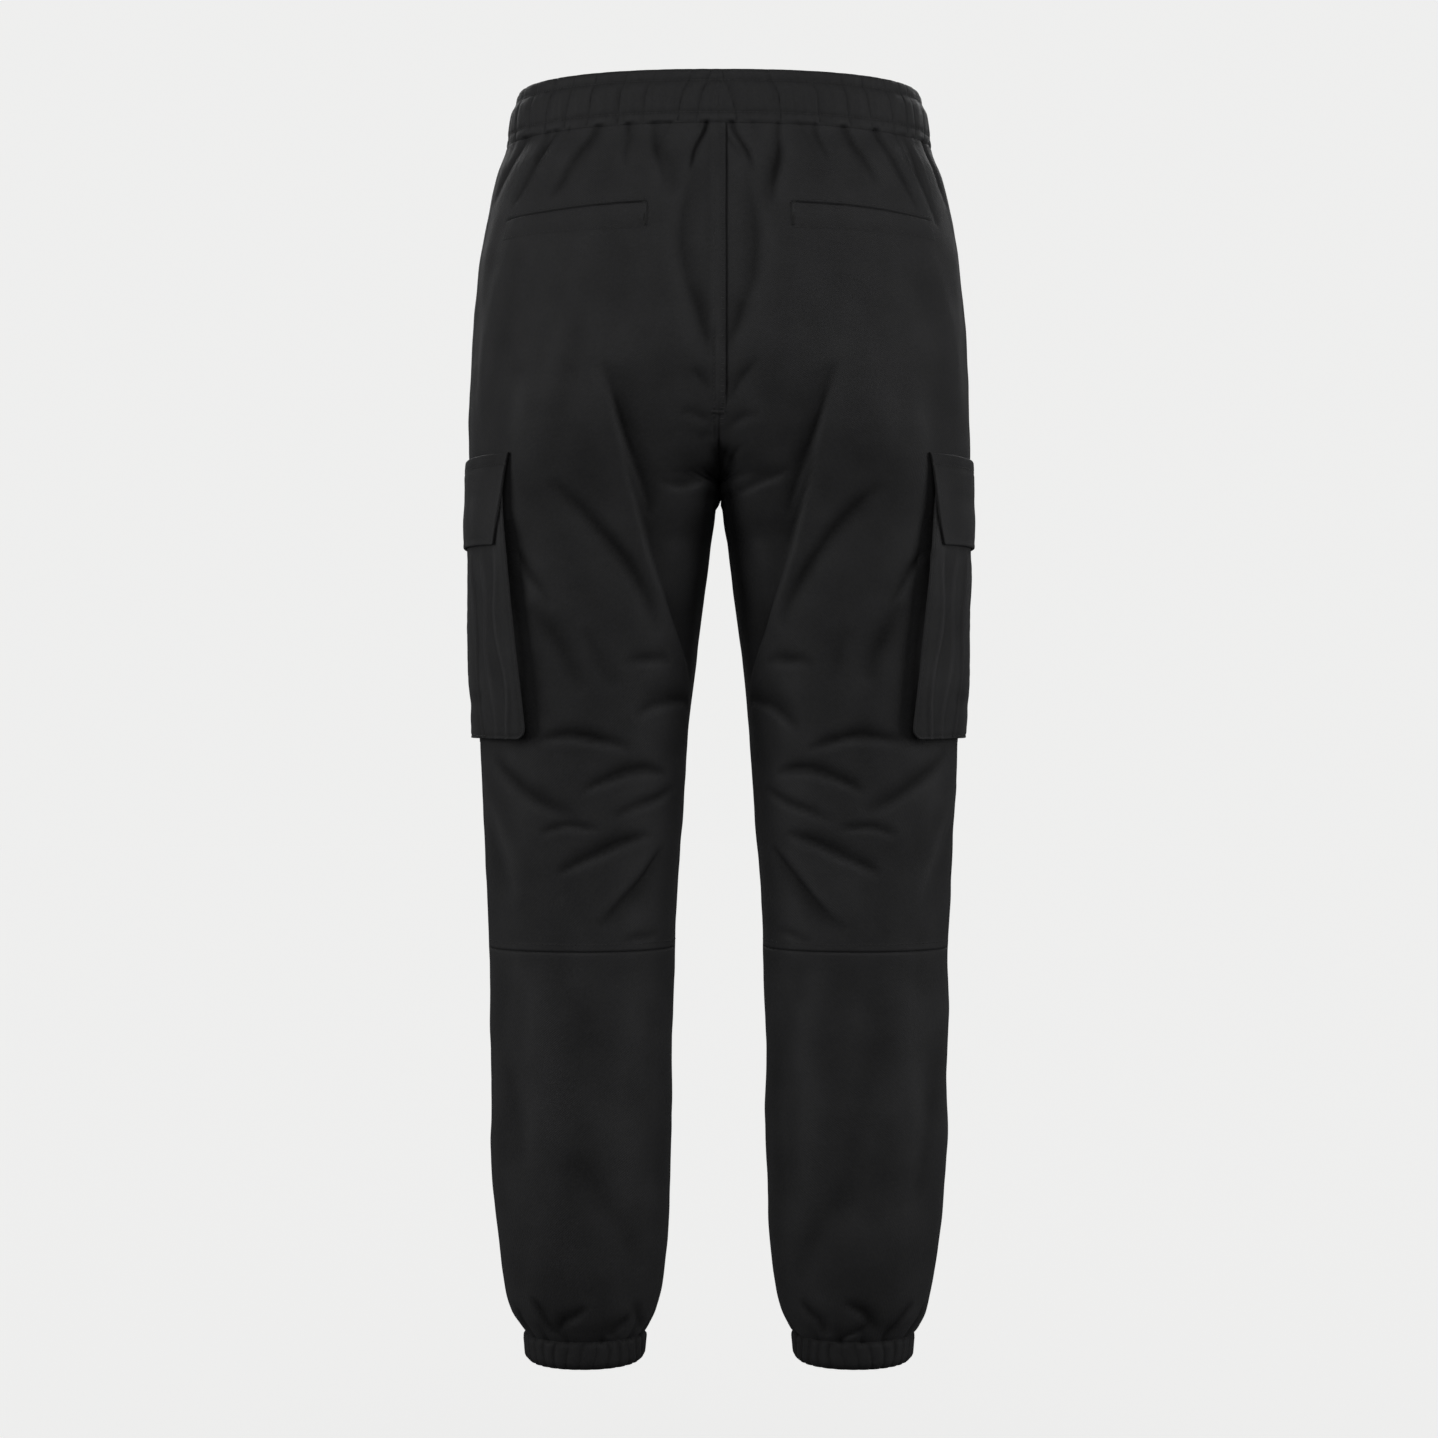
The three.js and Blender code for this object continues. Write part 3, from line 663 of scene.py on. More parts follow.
EDGE_STEPS = np.array([0, 0.5, 1.1, 1.9, 3.0, 4.2, 4.8, 5.3, 5.9, 7.2])


def spread(low, high, step, near=EDGE_STEPS):
    """Places from low to high, close together by both ends. low and high may be columns."""
    low, high = np.atleast_1d(low).astype(float), np.atleast_1d(high).astype(float)
    way = np.sign(high[0] - low[0])
    long = np.abs(high - low)
    count = max(2, int(round((long.max() - 2 * near[-1]) / step)))
    even = np.linspace(0, 1, count + 1)[1:-1]
    inside = near[-1] + even * (long - 2 * near[-1])[:, None]
    ends = np.tile(near, (len(long), 1))
    return low[:, None] + way * np.concatenate([ends, inside, long[:, None] - ends[:, ::-1]], 1)


def panel_ways(side, z, end, step):
    """Ways round a panel at each height z, up to end.

    Most columns take no notice of how fast the girth grows at the fork, so that none runs askew.
    """
    turn = 0.7 * np.interp(z, LEVELS, calmed(GIRTHS[side], 120))[:, None]
    near = EDGE_STEPS[:-1]
    first, last = SEAM_CLEAR + EDGE_STEPS[-1], (end - EDGE_STEPS[-1])[:, None]
    count = int(turn.max() / step)
    sides = mix(first, turn, np.linspace(0, 1, count)[None])
    rest = mix(turn, last, np.linspace(0, 1, int(0.55 * count))[None, 1:])
    start = np.tile(SEAM_CLEAR + near, (len(z), 1))
    return np.concatenate([start, sides, rest, end[:, None] - near[::-1]], 1)


def heights(top, bottom, step, fine=()):
    """Heights from top to bottom, with close rows in each fine band, given by its two ends."""
    base = list(spread(top, bottom, step)[0])
    for low, high in fine:
        base = [b for b in base if b < low - 0.5 or b > high + 0.5]
        base += list(np.linspace(low, high, int((high - low) / 0.65) + 1))
    return np.array(sorted(base, reverse=True))


def seam(distance, depth=0.9, width=1.5):
    """Cloth turned down into a seam."""
    return -depth * bell(distance, width)


def wall(kind, half, g, z, lift, thick=PANEL_WALL, most=0.35):
    """Piece of twill with its outer points at g and z, moved out by lift."""
    points, out, high = cloth(half, g, z, lift)
    inner = points - out * thick
    marks = np.stack(np.broadcast_arrays(g + HALVES_APART * half, z), -1)
    node = f"{kind}_{side_name(half)}"
    # Painted highlight on the crests and painted shade in the folds, seams and slits, from the
    # relief
    mesh = shell(f"{node}_cloth", points, inner, marks, paint_light_by_height(high, most))
    return place(f"{node}_cloth", mesh, outer_twill(), node)


def ring(node, parts, finish):
    """Closed loop of cloth from parts, which each have points, heights and marks.

    Only the first part, the outer one, gets painted highlight and painted shade.
    """
    painted_shading = [paint_light_by_height(parts[0][1])] + [0 * high for _, high, _ in parts[1:]]
    points, marks = (np.concatenate([part[k] for part in parts]) for k in (0, 2))
    name = f"{node}_cloth"
    mesh = shell(name, points, None, marks, np.concatenate(painted_shading), (True, True))
    return place(name, mesh, finish, node)


# Finishes


class Value:
    """A number of a finish. An expression on it adds the Math nodes."""

    def __init__(self, finish, socket):
        self.finish = finish
        self.socket = socket

    def _math(self, operation, *values):
        made = self.finish.node("ShaderNodeMath", {"operation": operation}, dict(enumerate(values)))
        return Value(self.finish, made.outputs[0])

    def __add__(self, other):
        return self._math("ADD", self, other)

    def __sub__(self, other):
        return self._math("SUBTRACT", self, other)

    def __rsub__(self, other):
        return self._math("SUBTRACT", other, self)

    def __mul__(self, other):
        return self._math("MULTIPLY", self, other)

    __radd__ = __add__
    __rmul__ = __mul__

    def sine(self):
        return self._math("SINE", self)

    def capped(self):
        return self._math("MINIMUM", self._math("MAXIMUM", self, 0.0), 1.0)


class Finish:
    """The nodes of a material or of the world."""

    def __init__(self, name, kind="materials"):
        self.made = getattr(bpy.data, kind).new(name)
        self.made.use_nodes = True
        self.tree = self.made.node_tree
        self.tree.nodes.clear()

    def node(self, kind, settings=None, sockets=None):
        """A node of a kind: its settings first, then its sockets' values or links."""
        made = self.tree.nodes.new(kind)
        for name, value in (settings or {}).items():
            setattr(made, name, value)
        for name, value in (sockets or {}).items():
            if isinstance(value, Value):
                value = value.socket
            if isinstance(value, bpy.types.NodeSocket):
                self.tree.links.new(value, made.inputs[name])
            else:
                made.inputs[name].default_value = value
        return made

    def value(self, kind, output, settings=None, sockets=None):
        return Value(self, self.node(kind, settings, sockets).outputs[output])

    def noise(self, where, scale, detail=2.0):
        return self.value(
            "ShaderNodeTexNoise", 0, None, {"Vector": where, "Scale": scale, "Detail": detail}
        )

    def cloth_marks(self):
        """The two values of the layer cloth."""
        marks = self.node("ShaderNodeUVMap", {"uv_map": "cloth"}).outputs[0]
        split = self.node("ShaderNodeSeparateXYZ", None, {0: marks})
        return Value(self, split.outputs[0]), Value(self, split.outputs[1])

    def bump(self, strength, distance, height):
        """Way out of a bumpy surface, with the distance in millimetres."""
        sockets = {"Strength": strength, "Distance": distance * MM, "Height": height}
        return self.node("ShaderNodeBump", None, sockets).outputs[0]

    def blend(self, share, low, high):
        """Colour between low and high."""
        made = self.node(
            "ShaderNodeMix", {"data_type": "RGBA"}, {"Factor": share, 6: (*low, 1), 7: (*high, 1)}
        )
        return made.outputs[2]

    def surface(self, sockets):
        shader = self.node("ShaderNodeBsdfPrincipled", None, sockets)
        self.node("ShaderNodeOutputMaterial", None, {"Surface": shader.outputs[0]})
        return self.made


def twill(name, pitch, weave, shade=1.0):
    """Black cotton twill: diagonal ribs of yarn and slubs, with painted highlight on crests and
    painted shade in troughs.
    """
    if name in bpy.data.materials:
        return bpy.data.materials[name]
    settings = bpy.context.scene.trousers_cloth
    f = Finish(name)
    along, up = f.cloth_marks()
    where = f.node("ShaderNodeTexCoord").outputs["Object"]
    wander = f.noise(where, 260.0) * 1.6
    turn = 2 * math.pi / (pitch * MM)
    ribs = ((along * 0.52 + up * 0.86) * turn + wander).sine()
    floats = ((along * 0.86 - up * 0.5) * (turn * 0.55) + ribs * 1.5).sine()
    fuzz = f.noise(where, 1500.0, 3.0)
    slubs = f.noise(where, 420.0, 3.0)
    height = ribs * 0.45 + floats * 0.2 + fuzz * 0.9 + slubs * 0.8
    painted_light = f.value("ShaderNodeAttribute", "Fac", {"attribute_name": "painted_light"})
    mottle = f.noise(where, 22.0, 4.0)
    # painted_light is painted highlight on crests and painted shade in troughs; mottle and slubs
    # are the cloth's own uneven tone
    share = (painted_light * settings.painted_light + mottle * 0.16 + slubs * 0.35 + 0.24).capped()
    dark = [c * shade * 0.35 for c in settings.colour]
    pale = [c * shade * 1.55 for c in settings.colour]
    bump = f.bump(weave, 0.35, height)
    return f.surface(
        {
            "Base Color": f.blend(share, dark, pale),
            "Roughness": settings.roughness + mottle * 0.1 - 0.05 - painted_light * 0.05,
            "Normal": bump,
            "Specular IOR Level": 0.1,
            "Sheen Weight": settings.sheen,
            "Sheen Roughness": 0.4,
            "Sheen Tint": (0.75, 0.77, 0.82, 1),
        }
    )


def thread_finish():
    """Polyester sewing thread: two twisted plies."""
    name = "black_thread"
    if name in bpy.data.materials:
        return bpy.data.materials[name]
    f = Finish(name)
    along, round_way = f.cloth_marks()
    plies = ((along + round_way) * 9.0).sine()
    bump = f.bump(0.5, 0.1, plies)
    return f.surface(
        {
            # Paler on the plies' crests and darker in the grooves between them: painted highlight
            # and painted shade on the twist
            "Base Color": f.blend((plies * 0.3 + 0.5).capped(), (0.012,) * 3, (0.026,) * 3),
            "Roughness": 0.55 + plies * 0.06,
            "Normal": bump,
            "Specular IOR Level": 0.2,
        }
    )


def outer_twill():
    return twill("black_twill", 1.15, 0.4)


# Sewing thread

STITCH_RINGS = [
    # along, radius, height: shares of half the stitch and of the thread's radius
    (-1, 0.35, -0.9),
    (-0.72, 0.9, 0.1),
    (0, 1, 0.55),
    (0.72, 0.9, 0.1),
    (1, 0.35, -0.9),
]
STITCH_SIDES = 5


def stitches(points, out, length, pitch, radius, across=False):
    """Rings of points for stitches along a line, or across it for a bar tack."""
    step = np.linalg.norm(np.diff(points, axis=0), axis=1)
    way = np.concatenate([[0], np.cumsum(step)])
    count = max(1, int(way[-1] / pitch))
    centre_at = (np.arange(count) + 0.5) * way[-1] / count

    def at(values, where):
        return np.stack([np.interp(where, way, values[:, k]) for k in range(3)], -1)

    centre, up = at(points, centre_at), at(out, centre_at)
    reach = pitch * 0.3 if across else length / 2
    ahead = at(points, centre_at + reach) - at(points, centre_at - reach)
    ahead /= np.linalg.norm(ahead, axis=1, keepdims=True) + 1e-9
    up -= ahead * (up * ahead).sum(1, keepdims=True)
    up /= np.linalg.norm(up, axis=1, keepdims=True)
    side = np.cross(ahead, up)
    if across:
        ahead, side = side, ahead
    turns = np.arange(STITCH_SIDES) * 2 * math.pi / STITCH_SIDES
    rings = []
    for along, thick, high in STITCH_RINGS:
        spoke = side[:, None] * np.cos(turns)[:, None] + up[:, None] * np.sin(turns)[:, None]
        hub = centre + ahead * along * length / 2 + up * high * radius
        rings.append(hub[:, None] + spoke * thick * radius)
    return np.stack(rings, 1)


def thread_piece(name, lines):
    """One piece from lines of stitches: points and ways out, then length, pitch and radius."""
    made = [stitches(*line[0], *line[1:]) for line in lines]
    rings = np.concatenate(made)
    count, levels = rings.shape[:2]
    index = np.arange(count * levels * STITCH_SIDES).reshape(count, levels, STITCH_SIDES)
    turn = np.roll(index, -1, axis=2)
    sides = np.stack([index[:, :-1], turn[:, :-1], turn[:, 1:], index[:, 1:]], -1).reshape(-1, 4)
    caps = np.concatenate([index[:, 0, ::-1], index[:, -1]])
    mesh = bpy.data.meshes.new(name)
    mesh.from_pydata((rings.reshape(-1, 3) * MM).tolist(), [], sides.tolist() + caps.tolist())
    mesh.shade_smooth()
    corner = corners_of(mesh)
    along = (corner // STITCH_SIDES) % levels
    mark_cloth(mesh, np.stack([along * 0.9, corner % STITCH_SIDES], -1))
    return place(name, mesh, thread_finish())


def seam_line(half, path, lift=0.0, step=1.0):
    """Points and ways out along a path of places on the cloth."""
    path = np.array(path, float)
    way = np.concatenate([[0], np.cumsum(np.hypot(*np.diff(path, axis=0).T))])
    where = np.linspace(0, way[-1], max(2, int(way[-1] / step)))
    g, z = (np.interp(where, way, path[:, k]) for k in range(2))
    rise = lift(g, z) if callable(lift) else lift
    points, out, _ = cloth(half, g, z, rise)
    return points, out


def sewing(line):
    """Length, pitch and radius of the ordinary stitches along a line."""
    settings = bpy.context.scene.trousers_sewing
    return (line, settings.stitch, settings.pitch, settings.thread / 2)


def bar_tack(line):
    return (line, 2.4, 0.55, 0.24, True)


# Pieces


def side_name(half):
    return "left" if half < 0 else "right"


def waistband_loop(z, lift):
    """Points round the waist at each height z, with a lift for every place."""
    z = np.asarray(z, float)
    loops = []
    for half, back in ((1, True), (1, False), (-1, False), (-1, True)):
        count = BACK_COLUMNS if back else FRONT_COLUMNS
        share = np.arange(count) / count
        u = 1 - share if (half > 0) == back else share
        u = np.broadcast_to(u if back else -u, (len(z), count))
        zz = np.broadcast_to(z[:, None], u.shape)
        g = u * np.where(back, girth(0, zz), girth(1, zz))
        loops.append((half, u, g, zz))
    points, heights_of, marks = [], [], []
    start = 0
    for half, u, g, zz in loops:
        base = bare(half, u, zz)
        out = outward(half, g, np.maximum(zz, BAND_BOTTOM))
        high = lift(half, g, zz)
        points.append(base + out * high[..., None])
        heights_of.append(high)
        count = u.shape[1]
        along = start + np.arange(count) * COLUMN_PITCH
        marks.append(np.stack(np.broadcast_arrays(along, zz), -1))
        start += count * COLUMN_PITCH
    return np.concatenate(points, 1), np.concatenate(heights_of, 1), np.concatenate(marks, 1)


def seam_height(half, g, z):
    """How far the panels stand off the form at a seam that runs round."""
    return cloth(half, g, np.full(np.shape(g), float(z)))[2]


def waistband():
    settings = bpy.context.scene.trousers_cloth

    def puff(half, g, z):
        back = crests(BAND_GATHERS[half], g + 0.7 * np.sin(z / 8 + g / 19), 0.25)
        front = crests(BAND_FRONT_GATHERS[half], -g + 0.7 * np.sin(z / 9 - g / 17), 0.25)
        crest = np.where(g >= 0, back, front)
        upper, lower = bell(z - UPPER_STITCH, 2.2), bell(z - LOWER_STITCH, 2.2)
        pinched = 1 - 0.55 * np.maximum(upper, lower)
        fine = np.sin(g / 0.42 + 2 * np.sin(g / 11)) * 0.12 * (upper + lower)
        fine = fine + np.sin(g / 1.3 + 2 * np.sin(g / 11) + z / 14) * 0.1
        ends = bell(z - BAND_TOP, 1.4) * 1.1
        depth = settings.band_wave * (0.65 + 0.35 * smooth((UPPER_STITCH + 4 - z) / 6))
        sunk = 0.5 * np.maximum(upper, lower)
        puffed = depth * pinched * (crest - 0.8) + fine - sunk - ends
        return mix(seam_height(half, g, BAND_BOTTOM) - 0.35, puffed, smooth((z - BAND_BOTTOM) / 3))

    outer_z = np.array(
        [-21.45, -21, -20.2, -19, -17.4, -15.8, -14.6, -13.7, -13, -12.3, -11.4, -10, -8, -5.4]
        + [-2.6, 0.2, 3, 5.6, 7.8, 9.6, 10.8, 11.6, 12.2, 12.8, 13.6, 14.8, 16.4, 18, 19.4]
        + [20.3, 20.8]
    )
    outside = waistband_loop(outer_z, puff)
    inner_z = np.array([21, 20.6, 18, 12, 5, -2, -9, -16, -20, -21.45])
    inside = waistband_loop(
        inner_z, lambda half, g, z: puff(half, g, z) * smooth((z + 2) / -12) - BAND_WALL + 0.5
    )
    piece = ring("waistband", (outside, inside), outer_twill())
    rows = []
    for z in (UPPER_STITCH, LOWER_STITCH):
        line, _, _ = waistband_loop([z, z + 0.5], puff)
        level, _, _ = waistband_loop([z, z + 0.5], lambda h, g, zz: puff(h, g, zz) + 1)
        out = level[0] - line[0]
        rows.append(sewing((line[0], out)))
    thread_piece("waistband_stitches", rows)
    return piece


def slit_height(g):
    """Height of a back pocket's opening: it rises towards the middle and arches a little."""
    share = np.clip((g - WELT_OUTER) / (WELT_INNER - WELT_OUTER), 0, 1)
    return WELT_TOP - 2 + WELT_TILT * (WELT_INNER - WELT_OUTER) * share + 2 * share * (1 - share)


def back_panel(half):
    """Upper back, from the waist to the seam behind the knee."""
    fine = [(WELT_TOP - 4, WELT_TOP + 6), (KNEE_ROW - 2, KNEE_ROW + 2)]
    z = heights(BAND_BOTTOM - 0.02, KNEE_SEAM + SEAM_CLEAR, 2.7, fine)[:, None]
    long = girth(0, z[:, 0])
    felled = smooth((z - FELL_END) / 30)
    lap = FELL_WIDTH * felled[:, 0] if half < 0 else 0
    g = panel_ways(0, z[:, 0], long - SEAM_CLEAR + lap, 2.6)
    gap = long[:, None] - g
    lift = seam(g) + seam(z - KNEE_SEAM, 1, 0.9) + seam(BAND_BOTTOM - z, 0.35, 0.6)
    lift = lift + 0.4 * smooth((9 - g) / 1.5)
    lift = lift + 0.15 * smooth((7 - (z - KNEE_SEAM)) / 1.2)
    slit = smooth((g - WELT_OUTER) / 2) * smooth((WELT_INNER - 1 - g) / 2)
    lift = lift - 1.8 * slit * bell(z - slit_height(g) - 0.8, 0.9)
    lift = lift + seam(gap, 0.9, 1.6) * (1 - felled)
    if half < 0:
        lift = lift + FELL_LIFT * smooth((FELL_WIDTH + 2.5 - gap) / 3) * felled
        cleft = smooth((CLEFT_TOP - z) / 8) * smooth((z - CLEFT_FOOT) / 6)
        lift = lift - 0.9 * cleft * bell(gap + FELL_ROW, 0.8)
    else:
        lift = lift - 0.4 * smooth((FELL_WIDTH + 1.2 - gap) / 1) * felled
        lift = lift - 0.9 * bell(gap - FELL_WIDTH - 0.3, 0.6) * felled
    piece = wall("back", half, g, z, lift)
    return piece


def calf_panel(half):
    z = heights(KNEE_SEAM - SEAM_CLEAR, CUFF_TOP + 0.05, 3.2)[:, None]
    long = girth(0, z[:, 0])
    g = spread(np.full(len(z), SEAM_CLEAR), long - SEAM_CLEAR, 3.1)
    lift = seam(g) + seam(long[:, None] - g) + seam(z - KNEE_SEAM, 1, 0.9)
    lift = lift + seam(z - CUFF_TOP, 0.8, 1.4) + 0.4 * smooth((9 - g) / 1.5)
    piece = wall("back_calf", half, g, z, lift)
    return piece


def front_panel(half):
    z = heights(BAND_BOTTOM - 0.02, CUFF_TOP + 0.05, 4)[:, None]
    long = girth(1, z[:, 0])
    g = -panel_ways(1, z[:, 0], long - SEAM_CLEAR, 4.2)
    lift = seam(g) + seam(long[:, None] + g) + seam(BAND_BOTTOM - z, 0.35, 0.6)
    lift = lift + seam(z - CUFF_TOP, 0.8, 1.4)
    piece = wall("front", half, g, z, lift)
    return piece


def cuff(half):
    """Ankle cuff, drawn up over elastic."""
    settings = bpy.context.scene.trousers_cloth
    count = settings.ribs * RIB_COLUMNS
    share = np.arange(count) / count
    u = np.where(share < 0.5, 2 * share, 2 * share - 2)
    u = np.where(u == -1, -0.9999, u)

    def loop(z, lift):
        zz, uu = np.broadcast_arrays(np.asarray(z, float)[:, None], u)
        g = uu * np.where(uu >= 0, girth(0, zz), girth(1, zz))
        base, out = bare(half, uu, zz), outward(half, g, zz)
        high = lift(zz, uu)
        return base + out * high[..., None], high, np.stack([uu * CUFF_REACH, zz], -1)

    def sewn(uu):
        long = np.where(uu >= 0, girth(0, CUFF_TOP), girth(1, CUFF_TOP))
        return seam_height(half, uu * long, CUFF_TOP) - 0.8

    def ribs(z, uu):
        turn = uu * settings.ribs / 2 + 0.16 * np.sin(uu * 9 + z / 7)
        crest = np.abs(np.cos(math.pi * turn)) ** 0.5
        flat = 1 - 0.5 * bell(uu - 0.5, 0.2)
        ends = bell(z - HEM, 1.6)
        ribbed = settings.rib_wave * flat * (crest - 0.6) * (1 - 0.25 * ends) - 0.9 * ends
        return mix(sewn(uu), ribbed, smooth((CUFF_TOP - z) / 4))

    def lining(z, uu):
        """The inner side, which rises a little way behind the leg's edge."""
        behind = np.minimum(-CUFF_WALL, sewn(uu) - 1.8)
        return mix(behind, -CUFF_WALL, smooth((CUFF_TOP - z) / 8))

    outer_z = np.array([-963.05, -963.6, -964.6, -966, -968, -970.4, -973, -975.6, -978, -980.4])
    outer_z = np.concatenate([outer_z, [-982.4, -983.8, -984.8, -985.3]])
    inner_z = [-985.4, -984.6, -980, -972, -968, -965, -963, -961.4]
    tip = loop([-961.4, -963.1], lambda z, uu: sewn(uu) - 1.05)
    side = side_name(half)
    piece = ring(
        f"cuff_{side}",
        (loop(outer_z, ribs), loop(inner_z, lining), tip),
        # Painted shade: the cuffs' twill is 0.68 as bright as the rest, for the shade at the ankles
        twill("cuff_twill_painted_darker", 1.0, 0.5, 0.68),
    )
    return piece


def pocket_lift(g, z):
    """How far the outer face of a cargo pocket stands off the leg."""
    rear = 4 * smooth((g - 30) / (POCKET_REAR - 30))
    front = 2 * smooth((-g - 30) / (-POCKET_FRONT - 30))
    down = smooth((FLAP_TOP - z) / (FLAP_TOP - FLAP_BOTTOM))
    return curve(POCKET_LIFT, 1, z) + (rear + front) * down


def nearest(*distances):
    """The least of the distances from a piece's edges."""
    return functools.reduce(np.minimum, distances)


def round_edge(distance, radius=1.0, depth=0.7):
    """Turned edge of a laid-on piece."""
    t = np.clip(1 - distance / radius, 0, 1)
    return -depth * (1 - np.sqrt(1 - t * t))


RIM_STEPS = np.array([0, 0.15, 0.4, 0.8, 1.4, 2.4, 4.0, 6.0])


def cargo_face(half):
    z = spread(POCKET_TOP, POCKET_BOTTOM, 3, RIM_STEPS)[0][:, None]
    low = POCKET_BOTTOM + POCKET_CORNER
    drop = np.clip((low - z) / POCKET_CORNER, 0, 1)
    inset = (POCKET_CORNER * (1 - np.sqrt(1 - drop * drop)))[:, 0]
    g = spread(POCKET_REAR - inset, POCKET_FRONT + inset, 1.5, RIM_STEPS)
    inset = inset[:, None]
    edge = nearest(POCKET_REAR - inset - g, g - POCKET_FRONT - inset, z - POCKET_BOTTOM)
    lift = pocket_lift(g, z) + round_edge(edge) - 0.45 * bell(edge - FACE_ROW, 0.9)
    lift = lift + 0.9 * bell(g - 48 - (z + 400) * 0.05, 9) * smooth((-330 - z) / 40)
    for line, size, phase in POCKET_CREASES:
        off = g - line - 2.4 * np.sin(z / 15 + phase)
        lift = lift + size * bell(off, 1.8) * smooth((-335 - z) / 25)
    lift = lift - 1.3 * bell(g - 8 + (z + 380) * 0.22, 12) * smooth((-350 - z) / 60)
    lift = lift - 0.9 * bell(z + 462 - g * 0.12, 7) * smooth((60 - np.abs(g)) / 40)
    # Stronger painted highlight on the face's creases, up to 0.7
    piece = wall("cargo_face", half, g, z, lift, FACE_WALL, 0.7)
    f"cargo_gusset_{side_name(half)}"
    return piece


def pocket_edge_path():
    """Places round the rear, bottom and front edges of a cargo pocket, and the ways out there."""
    low = POCKET_BOTTOM + POCKET_CORNER
    down = np.linspace(GUSSET_TOP, low, 54)
    turns = np.linspace(0, math.pi / 2, 8)[1:-1]
    foot = np.linspace(POCKET_REAR - POCKET_CORNER, POCKET_FRONT + POCKET_CORNER, 50)
    rows = [(POCKET_REAR, z, 1, 0) for z in down]
    for turn in turns:
        c, s = math.cos(turn), math.sin(turn)
        rows.append((foot[0] + POCKET_CORNER * c, low - POCKET_CORNER * s, c, -s))
    rows += [(g, POCKET_BOTTOM, 0, -1) for g in foot]
    for turn in turns[::-1]:
        c, s = math.cos(turn), math.sin(turn)
        rows.append((foot[-1] - POCKET_CORNER * c, low - POCKET_CORNER * s, -c, -s))
    rows += [(POCKET_FRONT, z, -1, 0) for z in down[::-1]]
    return np.array(rows)


def cargo_gusset(half):
    """Strip between the leg and the edge of the pocket's face, folded in under the face."""
    path = pocket_edge_path()
    g, z, out_g, out_z = (path[:, k][:, None] for k in range(4))
    share = np.linspace(0, 1, 11)[None, :]
    high = pocket_lift(g, z) - 1.7
    rise = mix(0.3, high, share**1.5)
    wander = 1 + 0.25 * np.sin(np.arange(len(path)) / 7)[:, None]
    bulge = mix(GUSSET_FOOT, -0.7, share) - GUSSET_FOLD * wander * np.sin(math.pi * share) ** 0.8
    points, _, _ = cloth(half, g + out_g * bulge, z + out_z * bulge, rise)
    inside = bulge - PANEL_WALL
    inner, _, _ = cloth(half, g + out_g * inside, z + out_z * inside, rise)
    side = side_name(half)
    name = f"cargo_gusset_{side}"
    marks = np.stack(np.broadcast_arrays(np.arange(len(path))[:, None] * 3.0, share * 14), -1)
    # Painted shade on the gusset, full from a fifth of the way from the leg to the face's edge,
    # where it folds in under the face
    mesh = shell(f"{name}_cloth", points, inner, marks, -smooth(5 * share) + 0 * g)
    piece = place(f"{name}_cloth", mesh, outer_twill(), name)
    return piece


def flap_edges(z):
    share = (FLAP_TOP - z) / (FLAP_TOP - FLAP_BOTTOM)
    rear = mix(FLAP_REAR_TOP, FLAP_REAR_BOTTOM, share)
    return rear, mix(FLAP_FRONT_TOP, FLAP_FRONT_BOTTOM, share)


def flap_lift(g, z):
    return pocket_lift(g, z) + FLAP_RISE


def cargo_flap(half):
    z = spread(FLAP_TOP, FLAP_BOTTOM, 2.6, RIM_STEPS)[0][:, None]
    rear, front = flap_edges(z[:, 0])
    g = spread(rear, front, 3, RIM_STEPS)
    sides = nearest(rear[:, None] - g, g - front[:, None], z - FLAP_BOTTOM)
    lift = flap_lift(g, z) + round_edge(np.minimum(sides, FLAP_TOP - z), 1.0, 0.8)
    lift = lift - 0.5 * bell(sides - FLAP_ROW, 1.0)
    lift = lift - 0.5 * bell(FLAP_TOP - z - FLAP_TOP_ROW, 1.0)
    lift = lift + 0.7 * bell(z + 318 - g * 0.05, 12) * smooth((70 - np.abs(g)) / 30)
    piece = wall("cargo_flap", half, g, z, lift, FLAP_WALL)
    f"front_{side_name(half)}"
    return piece


def welt_end(z):
    """The welt's inner end stands upright."""
    return WELT_INNER - 2 + 6 * (WELT_TOP - z) / (WELT_TOP - WELT_BOTTOM)


def welt(half):
    share = spread(0, 1, 0.1, RIM_STEPS[:6] / (WELT_TOP - WELT_BOTTOM))[0][:, None]
    inner = welt_end(mix(WELT_TOP, WELT_BOTTOM, share[:, 0]))
    g = spread(np.full(len(share), WELT_OUTER), inner, 2.4, RIM_STEPS[:6])
    top = slit_height(g)
    z = mix(top, WELT_BOTTOM, share)
    edge = nearest(g - WELT_OUTER, inner[:, None] - g, top - z, z - WELT_BOTTOM)
    flat = smooth((z - WELT_BOTTOM) / 15) * smooth((g - WELT_OUTER) / 12)
    lift = mix(0.2, WELT_LIFT - 0.4, flat) + round_edge(edge, 0.9, 0.2 + 0.5 * flat)
    piece = wall("welt", half, g, z, lift)
    f"back_{side_name(half)}"
    return piece


